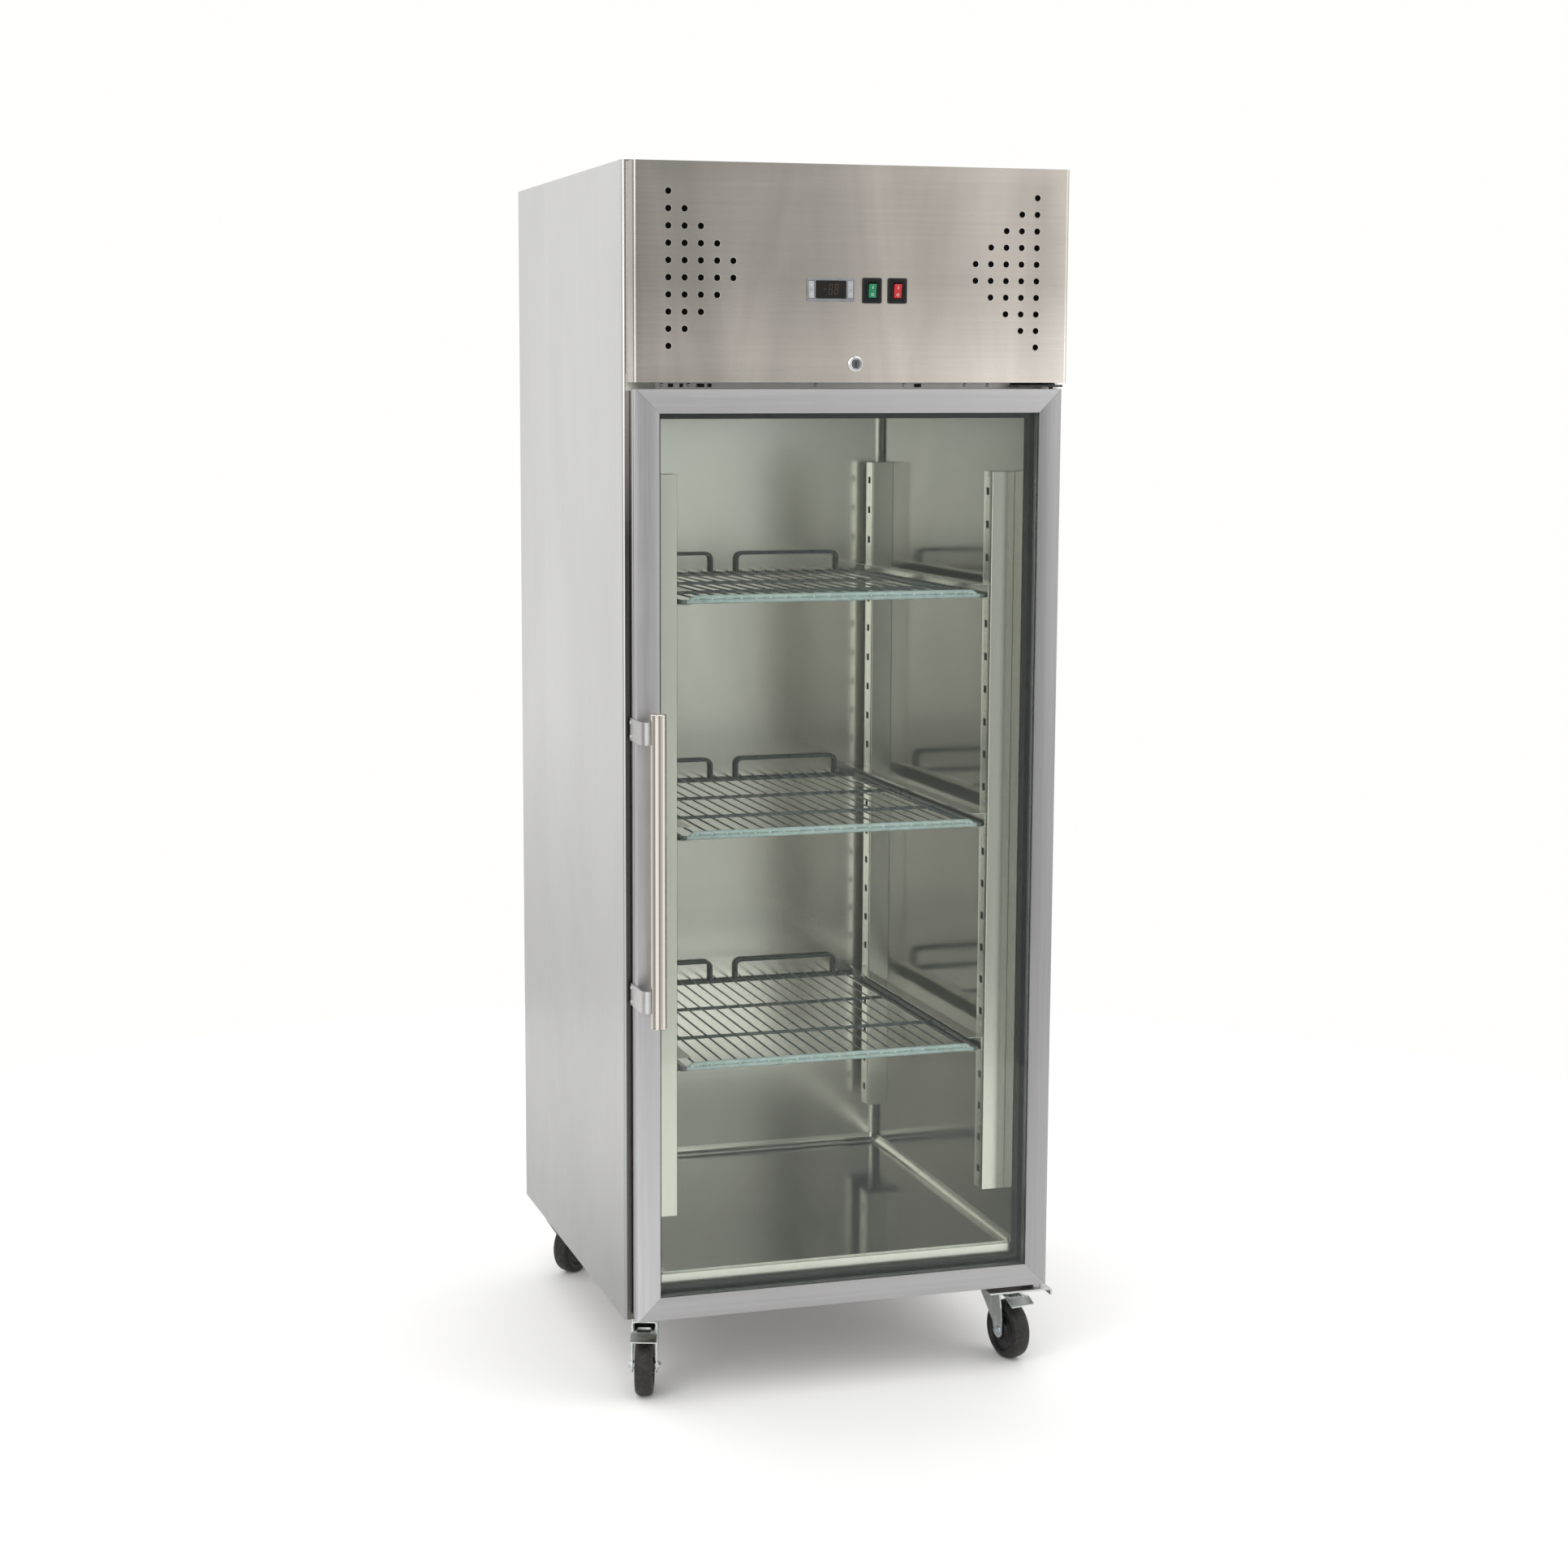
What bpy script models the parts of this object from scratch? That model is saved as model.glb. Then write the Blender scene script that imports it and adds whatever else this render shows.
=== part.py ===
"""Upright one-door glass refrigerator for a kitchen, on casters, with its cooling unit on top.

Metres, +Z up, floor at Z = 0, front towards -Y. The origin is under the middle of the whole box.
Depths marked "behind the front" are measured from the cabinet's front face towards the back.
"""

import math

import bmesh
import bpy
from mathutils import Matrix, Vector

# Overall size
WIDTH = 0.740
BODY_DEPTH = 0.740
HEIGHT = 2.010
HANDLE_REACH = 0.096
FRONT = HANDLE_REACH - (BODY_DEPTH + HANDLE_REACH) / 2
BACK = FRONT + BODY_DEPTH
HALF = WIDTH / 2

# Common sheet and clearances
SHEET = 0.0012
GAP = 0.0003

# Cabinet levels
BODY_BOTTOM = 0.143
INSIDE_HALF = HALF - SHEET - GAP
INSIDE_Y = (FRONT + 0.0045, BACK - SHEET - GAP)
DECK_TOP = 1.684
RAIL_BOTTOM = 1.640
FLANGE = 0.035
ROOM_HALF = 0.310
ROOM_BACK = FRONT + 0.681
ROOM_FLOOR = 0.214
ROOM_CEILING = 1.625
ROOM_CORNER = 0.015

# Evaporator chamber above the ceiling
CHAMBER_HALF = 0.175
CHAMBER_FRONT = FRONT + 0.385
CHAMBER_BACK = FRONT + 0.635
CHAMBER_TOP = 1.845
CHAMBER_WALL = 0.025
EVAPORATOR_FAN = Vector((0.0, FRONT + 0.500, 1.660))
EVAPORATOR_FAN_RADIUS = 0.078

# Condenser and its fan
CONDENSER_X = (-0.300, 0.020)
CONDENSER_Y = (FRONT + 0.030, FRONT + 0.085)
CONDENSER_Z = (DECK_TOP + 0.006, DECK_TOP + 0.286)
CONDENSER_FAN = Vector((-0.140, FRONT + 0.111, DECK_TOP + 0.146))
CONDENSER_FAN_RADIUS = 0.118
COMPRESSOR = Vector((0.205, FRONT + 0.215, DECK_TOP + GAP))

# Pilasters, runners and shelves
PILASTER_WIDE = 0.040
PILASTER_DEEP = 0.037
PILASTER_Z = (0.301, 1.522)
PILASTER_FRONTS = {"front": FRONT + 0.035, "rear": FRONT + 0.615}
SLOT = 0.012
SLOT_PITCH = 0.055
SLOTS = 22
FIRST_SLOT = PILASTER_Z[1] - 0.033
SHELF_SLOTS = {"upper": 3, "middle": 10, "lower": 17}
RUNNER_WIDE = 0.025
RUNNER_TALL = 0.024
RUNNER_Y = (FRONT + 0.045, FRONT + 0.652)
TAB = 0.008
SHELF_HALF = 0.265
SHELF_Y = (FRONT + 0.0385, FRONT + 0.676)
ROD = 0.0035
WIRE = 0.0015
SHELF_WIRES = 20
SHELF_SIDE = 0.2605
STOP_HALF = 0.101
STOP_X = 0.1225
STOP_HEIGHT = 0.0345

# Door
DOOR_HALF = 0.358
DOOR_Z = (0.150, 1.657)
DOOR_Y = (FRONT - 0.040, FRONT - 0.008)
FRAME_WIDE = 0.038
FRAME_WALL = 0.002
LIP = 0.0028
REBATE_WIDE = 0.026
PANE = 0.004
SPACER_DEEP = 0.012
SPACER_WIDE = 0.012
GASKET_WIDE = (0.013, 0.047)
DOOR_AXIS = Vector((0.346, FRONT - 0.024, 0.0))
PIN = 0.0035
PIN_HOLE = 0.0042
PIN_DEPTH = 0.0055

# Handle
HANDLE_X = -0.3345
HANDLE_RADIUS = 0.0125
HANDLE_Y = FRONT - HANDLE_REACH + HANDLE_RADIUS
HANDLE_Z = (0.648, 1.152)
BRACKET_ZS = {"upper": 1.121, "lower": 0.691}
BRACKET_TALL = 0.036
BRACKET_THICK = 0.003

# Fascia
FASCIA_HALF = 0.364
FASCIA_Z = (1.667, 2.006)
FASCIA_Y = (FRONT - 0.047, FRONT - 0.003)
FASCIA_CORNER = 0.006
VENT_X = 0.3075
VENT_Z = 1.8415
VENT_PITCH = 0.0263
VENT_RADIUS = 0.005
CONTROLLER = Vector((-0.042, FASCIA_Y[0], 1.812))
CONTROLLER_SIZE = (0.079, 0.0365)
KEY_X = 0.0325
KEY_SIZE = (0.0095, 0.027)
SWITCH_Z = 1.811
SWITCH_XS = {"green": 0.027, "red": 0.0695}
SWITCH_SIZE = (0.032, 0.040)
ROCKER_SIZE = (0.0125, 0.0225)
ROCKER_TILT = math.radians(8)
LOCK = Vector((0.0, FASCIA_Y[0], 1.696))

# Casters
WHEEL_RADIUS = 0.050
WHEEL_HALF = 0.0155
WHEEL_SIDES = 20
TRAIL = 0.036
CASTER_X = 0.316
CASTER_YS = {"front": FRONT + 0.070, "rear": FRONT + 0.670}
CASTER_TURNS = {"front_left": 162, "front_right": 190, "rear_left": -48, "rear_right": 118}
PLATE_HALF = (0.042, 0.044)
PLATE_THICK = 0.004
FORK_TOP = BODY_BOTTOM - PLATE_THICK - GAP
AXLE_RADIUS = 0.004
PEDAL_PIVOT = Vector((0.0, 0.004, 0.117))

SIDES = {"left": -1, "right": 1}


# ---------------------------------------------------------------- basics


def clear_scene():
    for obj in list(bpy.data.objects):
        bpy.data.objects.remove(obj, do_unlink=True)


def material(name, color, roughness, metallic=0.0, transmission=0.0):
    mat = bpy.data.materials.new(name)
    mat.use_nodes = True
    shader = mat.node_tree.nodes["Principled BSDF"]
    shader.inputs["Base Color"].default_value = (*color, 1)
    shader.inputs["Roughness"].default_value = roughness
    shader.inputs["Metallic"].default_value = metallic
    shader.inputs["Transmission Weight"].default_value = transmission
    mat.diffuse_color = (*color, 1)
    return mat


def make_materials():
    return {
        "stainless": material("stainless", (0.62, 0.61, 0.60), 0.35, 1.0),
        "frame": material("frame", (0.52, 0.51, 0.53), 0.38, 1.0),
        "liner": material("liner", (0.50, 0.51, 0.47), 0.32, 1.0),
        "chrome": material("chrome", (0.78, 0.78, 0.79), 0.12, 1.0),
        "zinc": material("zinc", (0.60, 0.66, 0.68), 0.30, 1.0),
        "aluminium": material("aluminium", (0.70, 0.71, 0.72), 0.35, 1.0),
        "black_metal": material("black_metal", (0.02, 0.02, 0.02), 0.45),
        "foam": material("foam", (0.80, 0.70, 0.42), 0.90),
        "coated_wire": material("coated_wire", (0.42, 0.52, 0.54), 0.35),
        "glass": material("glass", (0.90, 0.96, 0.93), 0.02, 0.0, 1.0),
        "seal": material("seal", (0.03, 0.03, 0.035), 0.60),
        "black_plastic": material("black_plastic", (0.02, 0.02, 0.02), 0.40),
        "grey_plastic": material("grey_plastic", (0.25, 0.25, 0.27), 0.40),
        "green_plastic": material("green_plastic", (0.00, 0.33, 0.14), 0.25),
        "red_plastic": material("red_plastic", (0.62, 0.02, 0.02), 0.25),
        "wheel": material("wheel", (0.03, 0.03, 0.03), 0.55),
    }


def closed_object(name, bm, mat=None):
    """An object from a bmesh, with its faces turned outwards."""
    bmesh.ops.recalc_face_normals(bm, faces=bm.faces)
    mesh = bpy.data.meshes.new(name)
    bm.to_mesh(mesh)
    bm.free()
    obj = bpy.data.objects.new(name, mesh)
    bpy.context.collection.objects.link(obj)
    if mat:
        mesh.materials.append(mat)
    return obj


def add_prism(bm, outline, lo, hi, axis="Z"):
    """Adds an outline pushed along an axis. Its points are (x, y) for Z, (x, z) for Y and (y, z) for X."""

    def at(u, v, w):
        return {"X": (w, u, v), "Y": (u, w, v), "Z": (u, v, w)}[axis]

    bottom = [bm.verts.new(at(u, v, lo)) for u, v in outline]
    top = [bm.verts.new(at(u, v, hi)) for u, v in outline]
    bm.faces.new(bottom)
    bm.faces.new(list(reversed(top)))
    count = len(outline)
    for i in range(count):
        j = (i + 1) % count
        bm.faces.new((bottom[i], top[i], top[j], bottom[j]))


def add_box(bm, x, y, z):
    add_prism(bm, [(x[0], y[0]), (x[1], y[0]), (x[1], y[1]), (x[0], y[1])], z[0], z[1])


def prism(name, outline, lo, hi, axis="Z", mat=None):
    bm = bmesh.new()
    add_prism(bm, outline, lo, hi, axis)
    return closed_object(name, bm, mat)


def box(name, x, y, z, mat=None):
    bm = bmesh.new()
    add_box(bm, x, y, z)
    return closed_object(name, bm, mat)


def arc(center, radius, start, end, steps):
    """Points along an arc, in degrees, both ends included."""
    turns = [math.radians(start + (end - start) * i / steps) for i in range(steps + 1)]
    return [(center[0] + radius * math.cos(t), center[1] + radius * math.sin(t)) for t in turns]


def circle(center, radius, sides, turn=0.0):
    return arc(center, radius, turn, turn + 360, sides)[:-1]


def ring(name, profile, sides, mat, turn=0.0):
    """A closed profile of (radius, x) points turned about the X axis."""
    bm = bmesh.new()
    rings = []
    for i in range(sides):
        angle = math.radians(turn) + 2 * math.pi * i / sides
        rings.append([bm.verts.new((x, r * math.cos(angle), r * math.sin(angle))) for r, x in profile])
    count = len(profile)
    for i in range(sides):
        here = rings[i]
        there = rings[(i + 1) % sides]
        for k in range(count):
            m = (k + 1) % count
            bm.faces.new((here[k], there[k], there[m], here[m]))
    return closed_object(name, bm, mat)


def as_guide(obj):
    obj.hide_render = True
    obj.display_type = "WIRE"


def boolean(obj, tool, operation):
    """Joins or cuts with another object, which becomes a guide."""
    as_guide(tool)
    mod = obj.modifiers.new(operation.lower(), "BOOLEAN")
    mod.operation = operation
    mod.solver = "EXACT"
    mod.object = tool


def join(obj, *tools):
    for tool in tools:
        boolean(obj, tool, "UNION")


def cut(obj, *tools):
    for tool in tools:
        boolean(obj, tool, "DIFFERENCE")


def moved(obj, offset):
    obj.data.transform(Matrix.Translation(offset))
    return obj


def pivot_at(obj, point):
    """Puts a piece's origin on its joint's axis and keeps the piece in place, its guides with it."""
    for mod in obj.modifiers:
        if mod.object and mod.object.parent is None:
            mod.object.parent = obj
            mod.object.data.transform(Matrix.Translation(-point))
    obj.data.transform(Matrix.Translation(-point))
    obj.location = point


def empty_at(name, point, turn=0.0):
    obj = bpy.data.objects.new(name, None)
    obj.location = point
    obj.rotation_euler = (0, 0, turn)
    bpy.context.collection.objects.link(obj)
    return obj


def hang_on(empty, *objects):
    """Parents pieces, which are already in the empty's own coordinates, with their guides."""
    for obj in objects:
        obj.parent = empty
        for mod in obj.modifiers:
            if mod.object:
                mod.object.parent = empty


def shade(obj):
    obj.data.shade_smooth()
    obj.data.set_sharp_from_angle(angle=math.radians(35))


# ---------------------------------------------------------------- cabinet


def side_panel(name, side, mat):
    """A folded sheet: the outer skin, a front flange with a rounded edge, and a short back flange."""
    outer = side * HALF
    inner = side * (HALF - SHEET)
    radius = 0.004
    front_end = side * (HALF - FLANGE)
    back_end = side * (HALF - 0.020)
    corner = [
        (side * (HALF - radius + radius * math.sin(t)), FRONT + radius - radius * math.cos(t))
        for t in [math.radians(a) for a in (0, 30, 60, 90)]
    ]
    outline = [
        (front_end, FRONT),
        *corner,
        (outer, BACK),
        (back_end, BACK),
        (back_end, BACK - SHEET),
        (inner, BACK - SHEET),
        (inner, FRONT + radius),
        (side * (HALF - radius), FRONT + SHEET),
        (front_end, FRONT + SHEET),
    ]
    return prism(name, outline, BODY_BOTTOM, HEIGHT, mat=mat)


def back_panel(mat):
    half = HALF - 0.020 - GAP
    return box("back_panel", (-half, half), (BACK - SHEET, BACK), (BODY_BOTTOM, DECK_TOP), mat)


def caster_spots():
    for end, y in CASTER_YS.items():
        for hand, side in SIDES.items():
            yield f"{end}_{hand}", side * CASTER_X, y


def base_panel(mat):
    """The bottom sheet, with the four caster plates and the door's lower hinge welded under it."""
    wide = (-INSIDE_HALF, INSIDE_HALF)
    sheet = box("base_panel", wide, INSIDE_Y, (BODY_BOTTOM, BODY_BOTTOM + SHEET), mat)
    bm = bmesh.new()
    for _, x, y in caster_spots():
        wide = (x - PLATE_HALF[0], x + PLATE_HALF[0])
        deep = (y - PLATE_HALF[1], y + PLATE_HALF[1])
        add_box(bm, wide, deep, (BODY_BOTTOM - PLATE_THICK, BODY_BOTTOM + SHEET / 2))
    join(sheet, closed_object("caster_plates", bm), *lower_hinge())
    return sheet


def machine_deck(mat):
    """The deck under the cooling unit, with the rail above the door, the lock's striker and the gland."""
    deck = box("machine_deck", (-INSIDE_HALF, INSIDE_HALF), INSIDE_Y, (DECK_TOP - SHEET, DECK_TOP), mat)
    margin = CHAMBER_WALL + GAP
    hole = box(
        "deck_hole",
        (-CHAMBER_HALF - margin, CHAMBER_HALF + margin),
        (CHAMBER_FRONT - margin, CHAMBER_BACK + margin),
        (DECK_TOP - 0.01, DECK_TOP + 0.01),
    )
    rail_half = HALF - FLANGE - GAP
    bm = bmesh.new()
    add_box(bm, (-rail_half, rail_half), (FRONT, FRONT + SHEET), (RAIL_BOTTOM, DECK_TOP))
    rail = closed_object("front_rail", bm)
    lip = box(
        "rail_fold",
        (-rail_half + SHEET, rail_half - SHEET),
        (FRONT + SHEET / 2, INSIDE_Y[0] + 0.002),
        (DECK_TOP - SHEET, DECK_TOP),
    )
    striker = prism(
        "striker",
        [
            (FRONT + SHEET / 2, 1.670),
            (FRONT + SHEET / 2, 1.6715),
            (FRONT - 0.0240, 1.6715),
            (FRONT - 0.0240, 1.6785),
            (FRONT - 0.0255, 1.6785),
            (FRONT - 0.0255, 1.670),
        ],
        -0.018,
        0.018,
        "X",
    )
    gland = prism("gland", circle((0.29, BACK - 0.09), 0.011, 12), DECK_TOP - 0.0005, DECK_TOP + 0.022)
    cut(deck, hole)
    join(deck, rail, lip, striker, gland)
    return deck


def room_outline(spread, front):
    """The cold room's outline seen from above, rounded at the two back corners."""
    half = ROOM_HALF + spread
    back = ROOM_BACK + spread
    radius = ROOM_CORNER + spread
    right = arc((half - radius, back - radius), radius, 0, 90, 4)
    left = arc((radius - half, back - radius), radius, 90, 180, 4)
    return [(-half, front), (half, front), *right, *left]


def insulation_foam(mat):
    """The foamed walls, with the evaporator chamber's box raised on the ceiling."""
    foam = box(
        "insulation_foam",
        (-INSIDE_HALF, INSIDE_HALF),
        INSIDE_Y,
        (BODY_BOTTOM + SHEET + GAP, DECK_TOP - SHEET - GAP),
        mat,
    )
    raised = box(
        "chamber_box",
        (-CHAMBER_HALF - CHAMBER_WALL, CHAMBER_HALF + CHAMBER_WALL),
        (CHAMBER_FRONT - CHAMBER_WALL, CHAMBER_BACK + CHAMBER_WALL),
        (DECK_TOP - 0.02, CHAMBER_TOP + CHAMBER_WALL),
    )
    spread = SHEET + GAP
    room = prism(
        "foam_room",
        room_outline(spread, FRONT - 0.01),
        ROOM_FLOOR - spread,
        ROOM_CEILING + spread,
    )
    chamber = box(
        "foam_chamber",
        (-CHAMBER_HALF, CHAMBER_HALF),
        (CHAMBER_FRONT, CHAMBER_BACK),
        (ROOM_CEILING, CHAMBER_TOP),
    )
    join(foam, raised)
    cut(foam, room, chamber)
    return foam


def inner_liner(mat):
    """The cold room's lining, with a front flange, and a fan opening and an air slot in its ceiling."""
    front_cut = FRONT - 0.01
    liner = prism(
        "inner_liner",
        room_outline(SHEET, FRONT),
        ROOM_FLOOR - SHEET,
        ROOM_CEILING + SHEET,
        mat=mat,
    )
    half = HALF - FLANGE - GAP
    flange = box("liner_flange", (-half, half), (FRONT, FRONT + SHEET), (BODY_BOTTOM, RAIL_BOTTOM - GAP))
    room = prism("liner_room", room_outline(0.0, front_cut), ROOM_FLOOR, ROOM_CEILING)
    fan_hole = prism(
        "fan_hole",
        circle((EVAPORATOR_FAN.x, EVAPORATOR_FAN.y), EVAPORATOR_FAN_RADIUS + 0.004, 16),
        ROOM_CEILING - 0.01,
        ROOM_CEILING + 0.01,
    )
    slot = box(
        "air_slot",
        (-0.15, 0.15),
        (CHAMBER_FRONT + 0.004, CHAMBER_FRONT + 0.024),
        (ROOM_CEILING - 0.01, ROOM_CEILING + 0.01),
    )
    join(liner, flange)
    cut(liner, room, fan_hole, slot)
    return liner


def slot_height(index):
    return FIRST_SLOT - SLOT_PITCH * index


def pilaster(end, hand, side, mat):
    """A channel on the side wall, with a ladder of square slots for the runners' tabs."""
    wall = side * (ROOM_HALF - GAP)
    face = side * (ROOM_HALF - PILASTER_WIDE)
    inside = face + side * SHEET
    y0 = PILASTER_FRONTS[end]
    y1 = y0 + PILASTER_DEEP
    outline = [
        (wall, y0),
        (face, y0),
        (face, y1),
        (wall, y1),
        (wall, y1 - SHEET),
        (inside, y1 - SHEET),
        (inside, y0 + SHEET),
        (wall, y0 + SHEET),
    ]
    obj = prism(f"pilaster_{end}_{hand}", outline, *PILASTER_Z, mat=mat)
    middle = (y0 + y1) / 2
    bm = bmesh.new()
    for i in range(SLOTS):
        z = slot_height(i)
        wide = sorted((face - side * 0.004, face + side * 0.004))
        add_box(bm, wide, (middle - SLOT / 2, middle + SLOT / 2), (z - SLOT / 2, z + SLOT / 2))
    cut(obj, closed_object(f"slots_{end}_{hand}", bm))
    return obj


def runner(level, hand, side, mat):
    """A channel open towards the shelf, hooked into the pilasters' slots by two tabs."""
    z = slot_height(SHELF_SLOTS[level])
    outer = side * (ROOM_HALF - PILASTER_WIDE - GAP)
    inner = outer - side * RUNNER_WIDE
    web = outer - side * SHEET
    top = z + RUNNER_TALL / 2
    bottom = z - RUNNER_TALL / 2
    outline = [
        (outer, bottom),
        (inner, bottom),
        (inner, bottom + SHEET),
        (web, bottom + SHEET),
        (web, top - SHEET),
        (inner, top - SHEET),
        (inner, top),
        (outer, top),
    ]
    obj = prism(f"runner_{level}_{hand}", outline, *RUNNER_Y, axis="Y", mat=mat)
    bm = bmesh.new()
    for y in PILASTER_FRONTS.values():
        middle = y + PILASTER_DEEP / 2
        wide = sorted((web, outer + side * 0.005))
        add_box(bm, wide, (middle - TAB / 2, middle + TAB / 2), (z - TAB / 2, z + TAB / 2))
    join(obj, closed_object(f"tabs_{level}_{hand}", bm))
    return obj


def fascia_rail(mat):
    """The cross bar at the top, between the side panels, that carries the fascia."""
    half = INSIDE_HALF
    y = INSIDE_Y[0]
    outline = [
        (y, HEIGHT - 0.040),
        (y + SHEET, HEIGHT - 0.040),
        (y + SHEET, HEIGHT - 0.004 - SHEET),
        (y + 0.030, HEIGHT - 0.004 - SHEET),
        (y + 0.030, HEIGHT - 0.004),
        (y, HEIGHT - 0.004),
    ]
    return prism("fascia_rail", outline, -half, half, "X", mat)


def hinge_bracket_upper(mat):
    """A bent plate on the rail above the door, with its pin down into the door."""
    back = FRONT - GAP
    outline = [
        (FRONT - 0.040, 1.6600),
        (back, 1.6600),
        (back, 1.6790),
        (back - 0.003, 1.6790),
        (back - 0.003, 1.6635),
        (FRONT - 0.040, 1.6635),
    ]
    obj = prism("hinge_bracket_upper", outline, 0.284, 0.360, "X", mat)
    pin = prism(
        "upper_pin",
        circle(DOOR_AXIS.xy, PIN, 12),
        DOOR_Z[1] - PIN_DEPTH,
        1.6620,
    )
    join(obj, pin)
    return obj


def lower_hinge():
    """A plate welded under the base, with a turned-down end, a bush and the pin that the door stands on."""
    top = BODY_BOTTOM - GAP
    outline = [
        (0.2560, top - 0.003),
        (0.3662, top - 0.003),
        (0.3662, top - 0.012),
        (0.3690, top - 0.012),
        (0.3690, top),
        (0.2560, top),
    ]
    plate = prism("hinge_plate", outline, FRONT - 0.043, FRONT + 0.020, "Y")
    weld_z = (top - 0.001, BODY_BOTTOM + SHEET / 2)
    weld = box("hinge_weld", (0.262, 0.330), (FRONT + 0.008, FRONT + 0.018), weld_z)
    bush = prism("lower_bush", circle(DOOR_AXIS.xy, 0.007, 12), top - 0.001, DOOR_Z[0] - GAP)
    pin = prism("lower_pin", circle(DOOR_AXIS.xy, PIN, 12), top, DOOR_Z[0] + PIN_DEPTH)
    return [plate, weld, bush, pin]


# ---------------------------------------------------------------- cooling unit


def finned_block(name, x, y, z, fins, mat):
    """A coil of fins on end plates: a block with slots cut down through it from above."""
    obj = box(name, x, y, z, mat)
    pitch = (x[1] - x[0]) / fins
    bm = bmesh.new()
    deep = (y[0] - 0.01, y[1] + 0.01)
    tall = (z[0] + 0.01, z[1] + 0.01)
    for i in range(1, fins):
        middle = x[0] + i * pitch
        add_box(bm, (middle - pitch * 0.3, middle + pitch * 0.3), deep, tall)
    cut(obj, closed_object(f"{name}_slots", bm))
    return obj


def evaporator_coil(mat):
    """The coil that hangs in the chamber, with its fan's motor under it."""
    coil = finned_block(
        "evaporator_coil",
        (-CHAMBER_HALF + 0.010, CHAMBER_HALF - 0.010),
        (CHAMBER_FRONT + 0.010, CHAMBER_BACK - 0.010),
        (CHAMBER_TOP - 0.095, CHAMBER_TOP - 0.005),
        12,
        mat,
    )
    motor = prism(
        "evaporator_motor",
        circle(EVAPORATOR_FAN.xy, 0.030, 12),
        EVAPORATOR_FAN.z + 0.030,
        CHAMBER_TOP - 0.088,
    )
    shaft = prism(
        "evaporator_shaft",
        circle(EVAPORATOR_FAN.xy, 0.004, 8),
        EVAPORATOR_FAN.z - 0.006,
        EVAPORATOR_FAN.z + 0.032,
    )
    join(coil, motor, shaft)
    return coil


def fan_blades(name, radius, blades, axis, center, mat):
    """A hub with a bore for the motor's shaft, and flat blades set at an angle."""
    hub = 0.022
    root = hub - 0.004
    outline = [
        (root, -0.010),
        (radius * 0.7, -0.030),
        (radius, -0.018),
        (radius, 0.018),
        (radius * 0.7, 0.026),
        (root, 0.010),
    ]
    obj = prism(name, circle((0, 0), hub, 12), -0.009, 0.009, axis, mat)
    bm = bmesh.new()
    for i in range(blades):
        blade = bmesh.new()
        add_prism(blade, outline, -0.0008, 0.0008)
        pitch = Matrix.Rotation(math.radians(24), 4, "X")
        turn = Matrix.Rotation(2 * math.pi * i / blades, 4, "Z")
        stand = Matrix.Identity(4) if axis == "Z" else Matrix.Rotation(math.pi / 2, 4, "X")
        bmesh.ops.transform(blade, matrix=stand @ turn @ pitch, verts=blade.verts)
        mesh = bpy.data.meshes.new("blade")
        blade.to_mesh(mesh)
        blade.free()
        bm.from_mesh(mesh)
        bpy.data.meshes.remove(mesh)
    join(obj, closed_object(f"{name}_vanes", bm))
    cut(obj, prism(f"{name}_bore", circle((0, 0), 0.0045, 8), -0.02, 0.02, axis))
    pivot = empty_at(f"{name}_axis", center)
    hang_on(pivot, obj)
    return obj


def condenser_fan_motor(mat):
    """The shroud behind the condenser, with the fan's motor held by three struts."""
    y0 = CONDENSER_Y[1] + GAP
    y1 = y0 + 0.040
    center = (CONDENSER_FAN.x, CONDENSER_FAN.z)
    shroud = box(
        "condenser_fan_motor",
        (CONDENSER_X[0], CONDENSER_X[1]),
        (y0, y1),
        (CONDENSER_Z[0], CONDENSER_Z[1]),
        mat,
    )
    opening = circle(center, CONDENSER_FAN_RADIUS + 0.006, 24)
    tunnel = prism("shroud_tunnel", opening, y0 - 0.01, y1 + 0.01, "Y")
    motor = prism("condenser_motor", circle(center, 0.036, 12), y1 + 0.004, y1 + 0.070, "Y")
    shaft = prism("condenser_shaft", circle(center, 0.004, 8), CONDENSER_FAN.y - 0.006, y1 + 0.010, "Y")
    bm = bmesh.new()
    reach = CONDENSER_FAN_RADIUS + 0.014
    for i in range(3):
        angle = math.radians(90 + 120 * i)
        along = Vector((math.cos(angle), math.sin(angle)))
        across = Vector((-along.y, along.x)) * 0.006
        hub = Vector(center) + along * 0.030
        tip = Vector(center) + along * reach
        add_prism(bm, [hub - across, tip - across, tip + across, hub + across], y1 - 0.0005, y1 + 0.010, "Y")
    struts = closed_object("motor_struts", bm)
    cut(shroud, tunnel)
    join(shroud, motor, struts, shaft)
    return shroud


def compressor(mat):
    """A hermetic shell on a foot plate."""
    x, y, z = COMPRESSOR
    profile = [(0.050, 0.000), (0.072, 0.016), (0.076, 0.040), (0.076, 0.110), (0.066, 0.140), (0.034, 0.158)]
    bm = bmesh.new()
    sides = 20
    rings = []
    for radius, height in profile:
        points = circle((x, y), radius, sides)
        rings.append([bm.verts.new((u, v, z + 0.012 + height)) for u, v in points])
    bm.faces.new(rings[0])
    bm.faces.new(list(reversed(rings[-1])))
    for low, high in zip(rings, rings[1:]):
        for i in range(sides):
            j = (i + 1) % sides
            bm.faces.new((low[i], low[j], high[j], high[i]))
    shell = closed_object("compressor", bm, mat)
    foot = box("compressor_foot", (x - 0.085, x + 0.085), (y - 0.060, y + 0.060), (z, z + 0.014))
    join(shell, foot)
    shade(shell)
    return shell


# ---------------------------------------------------------------- shelves


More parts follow.
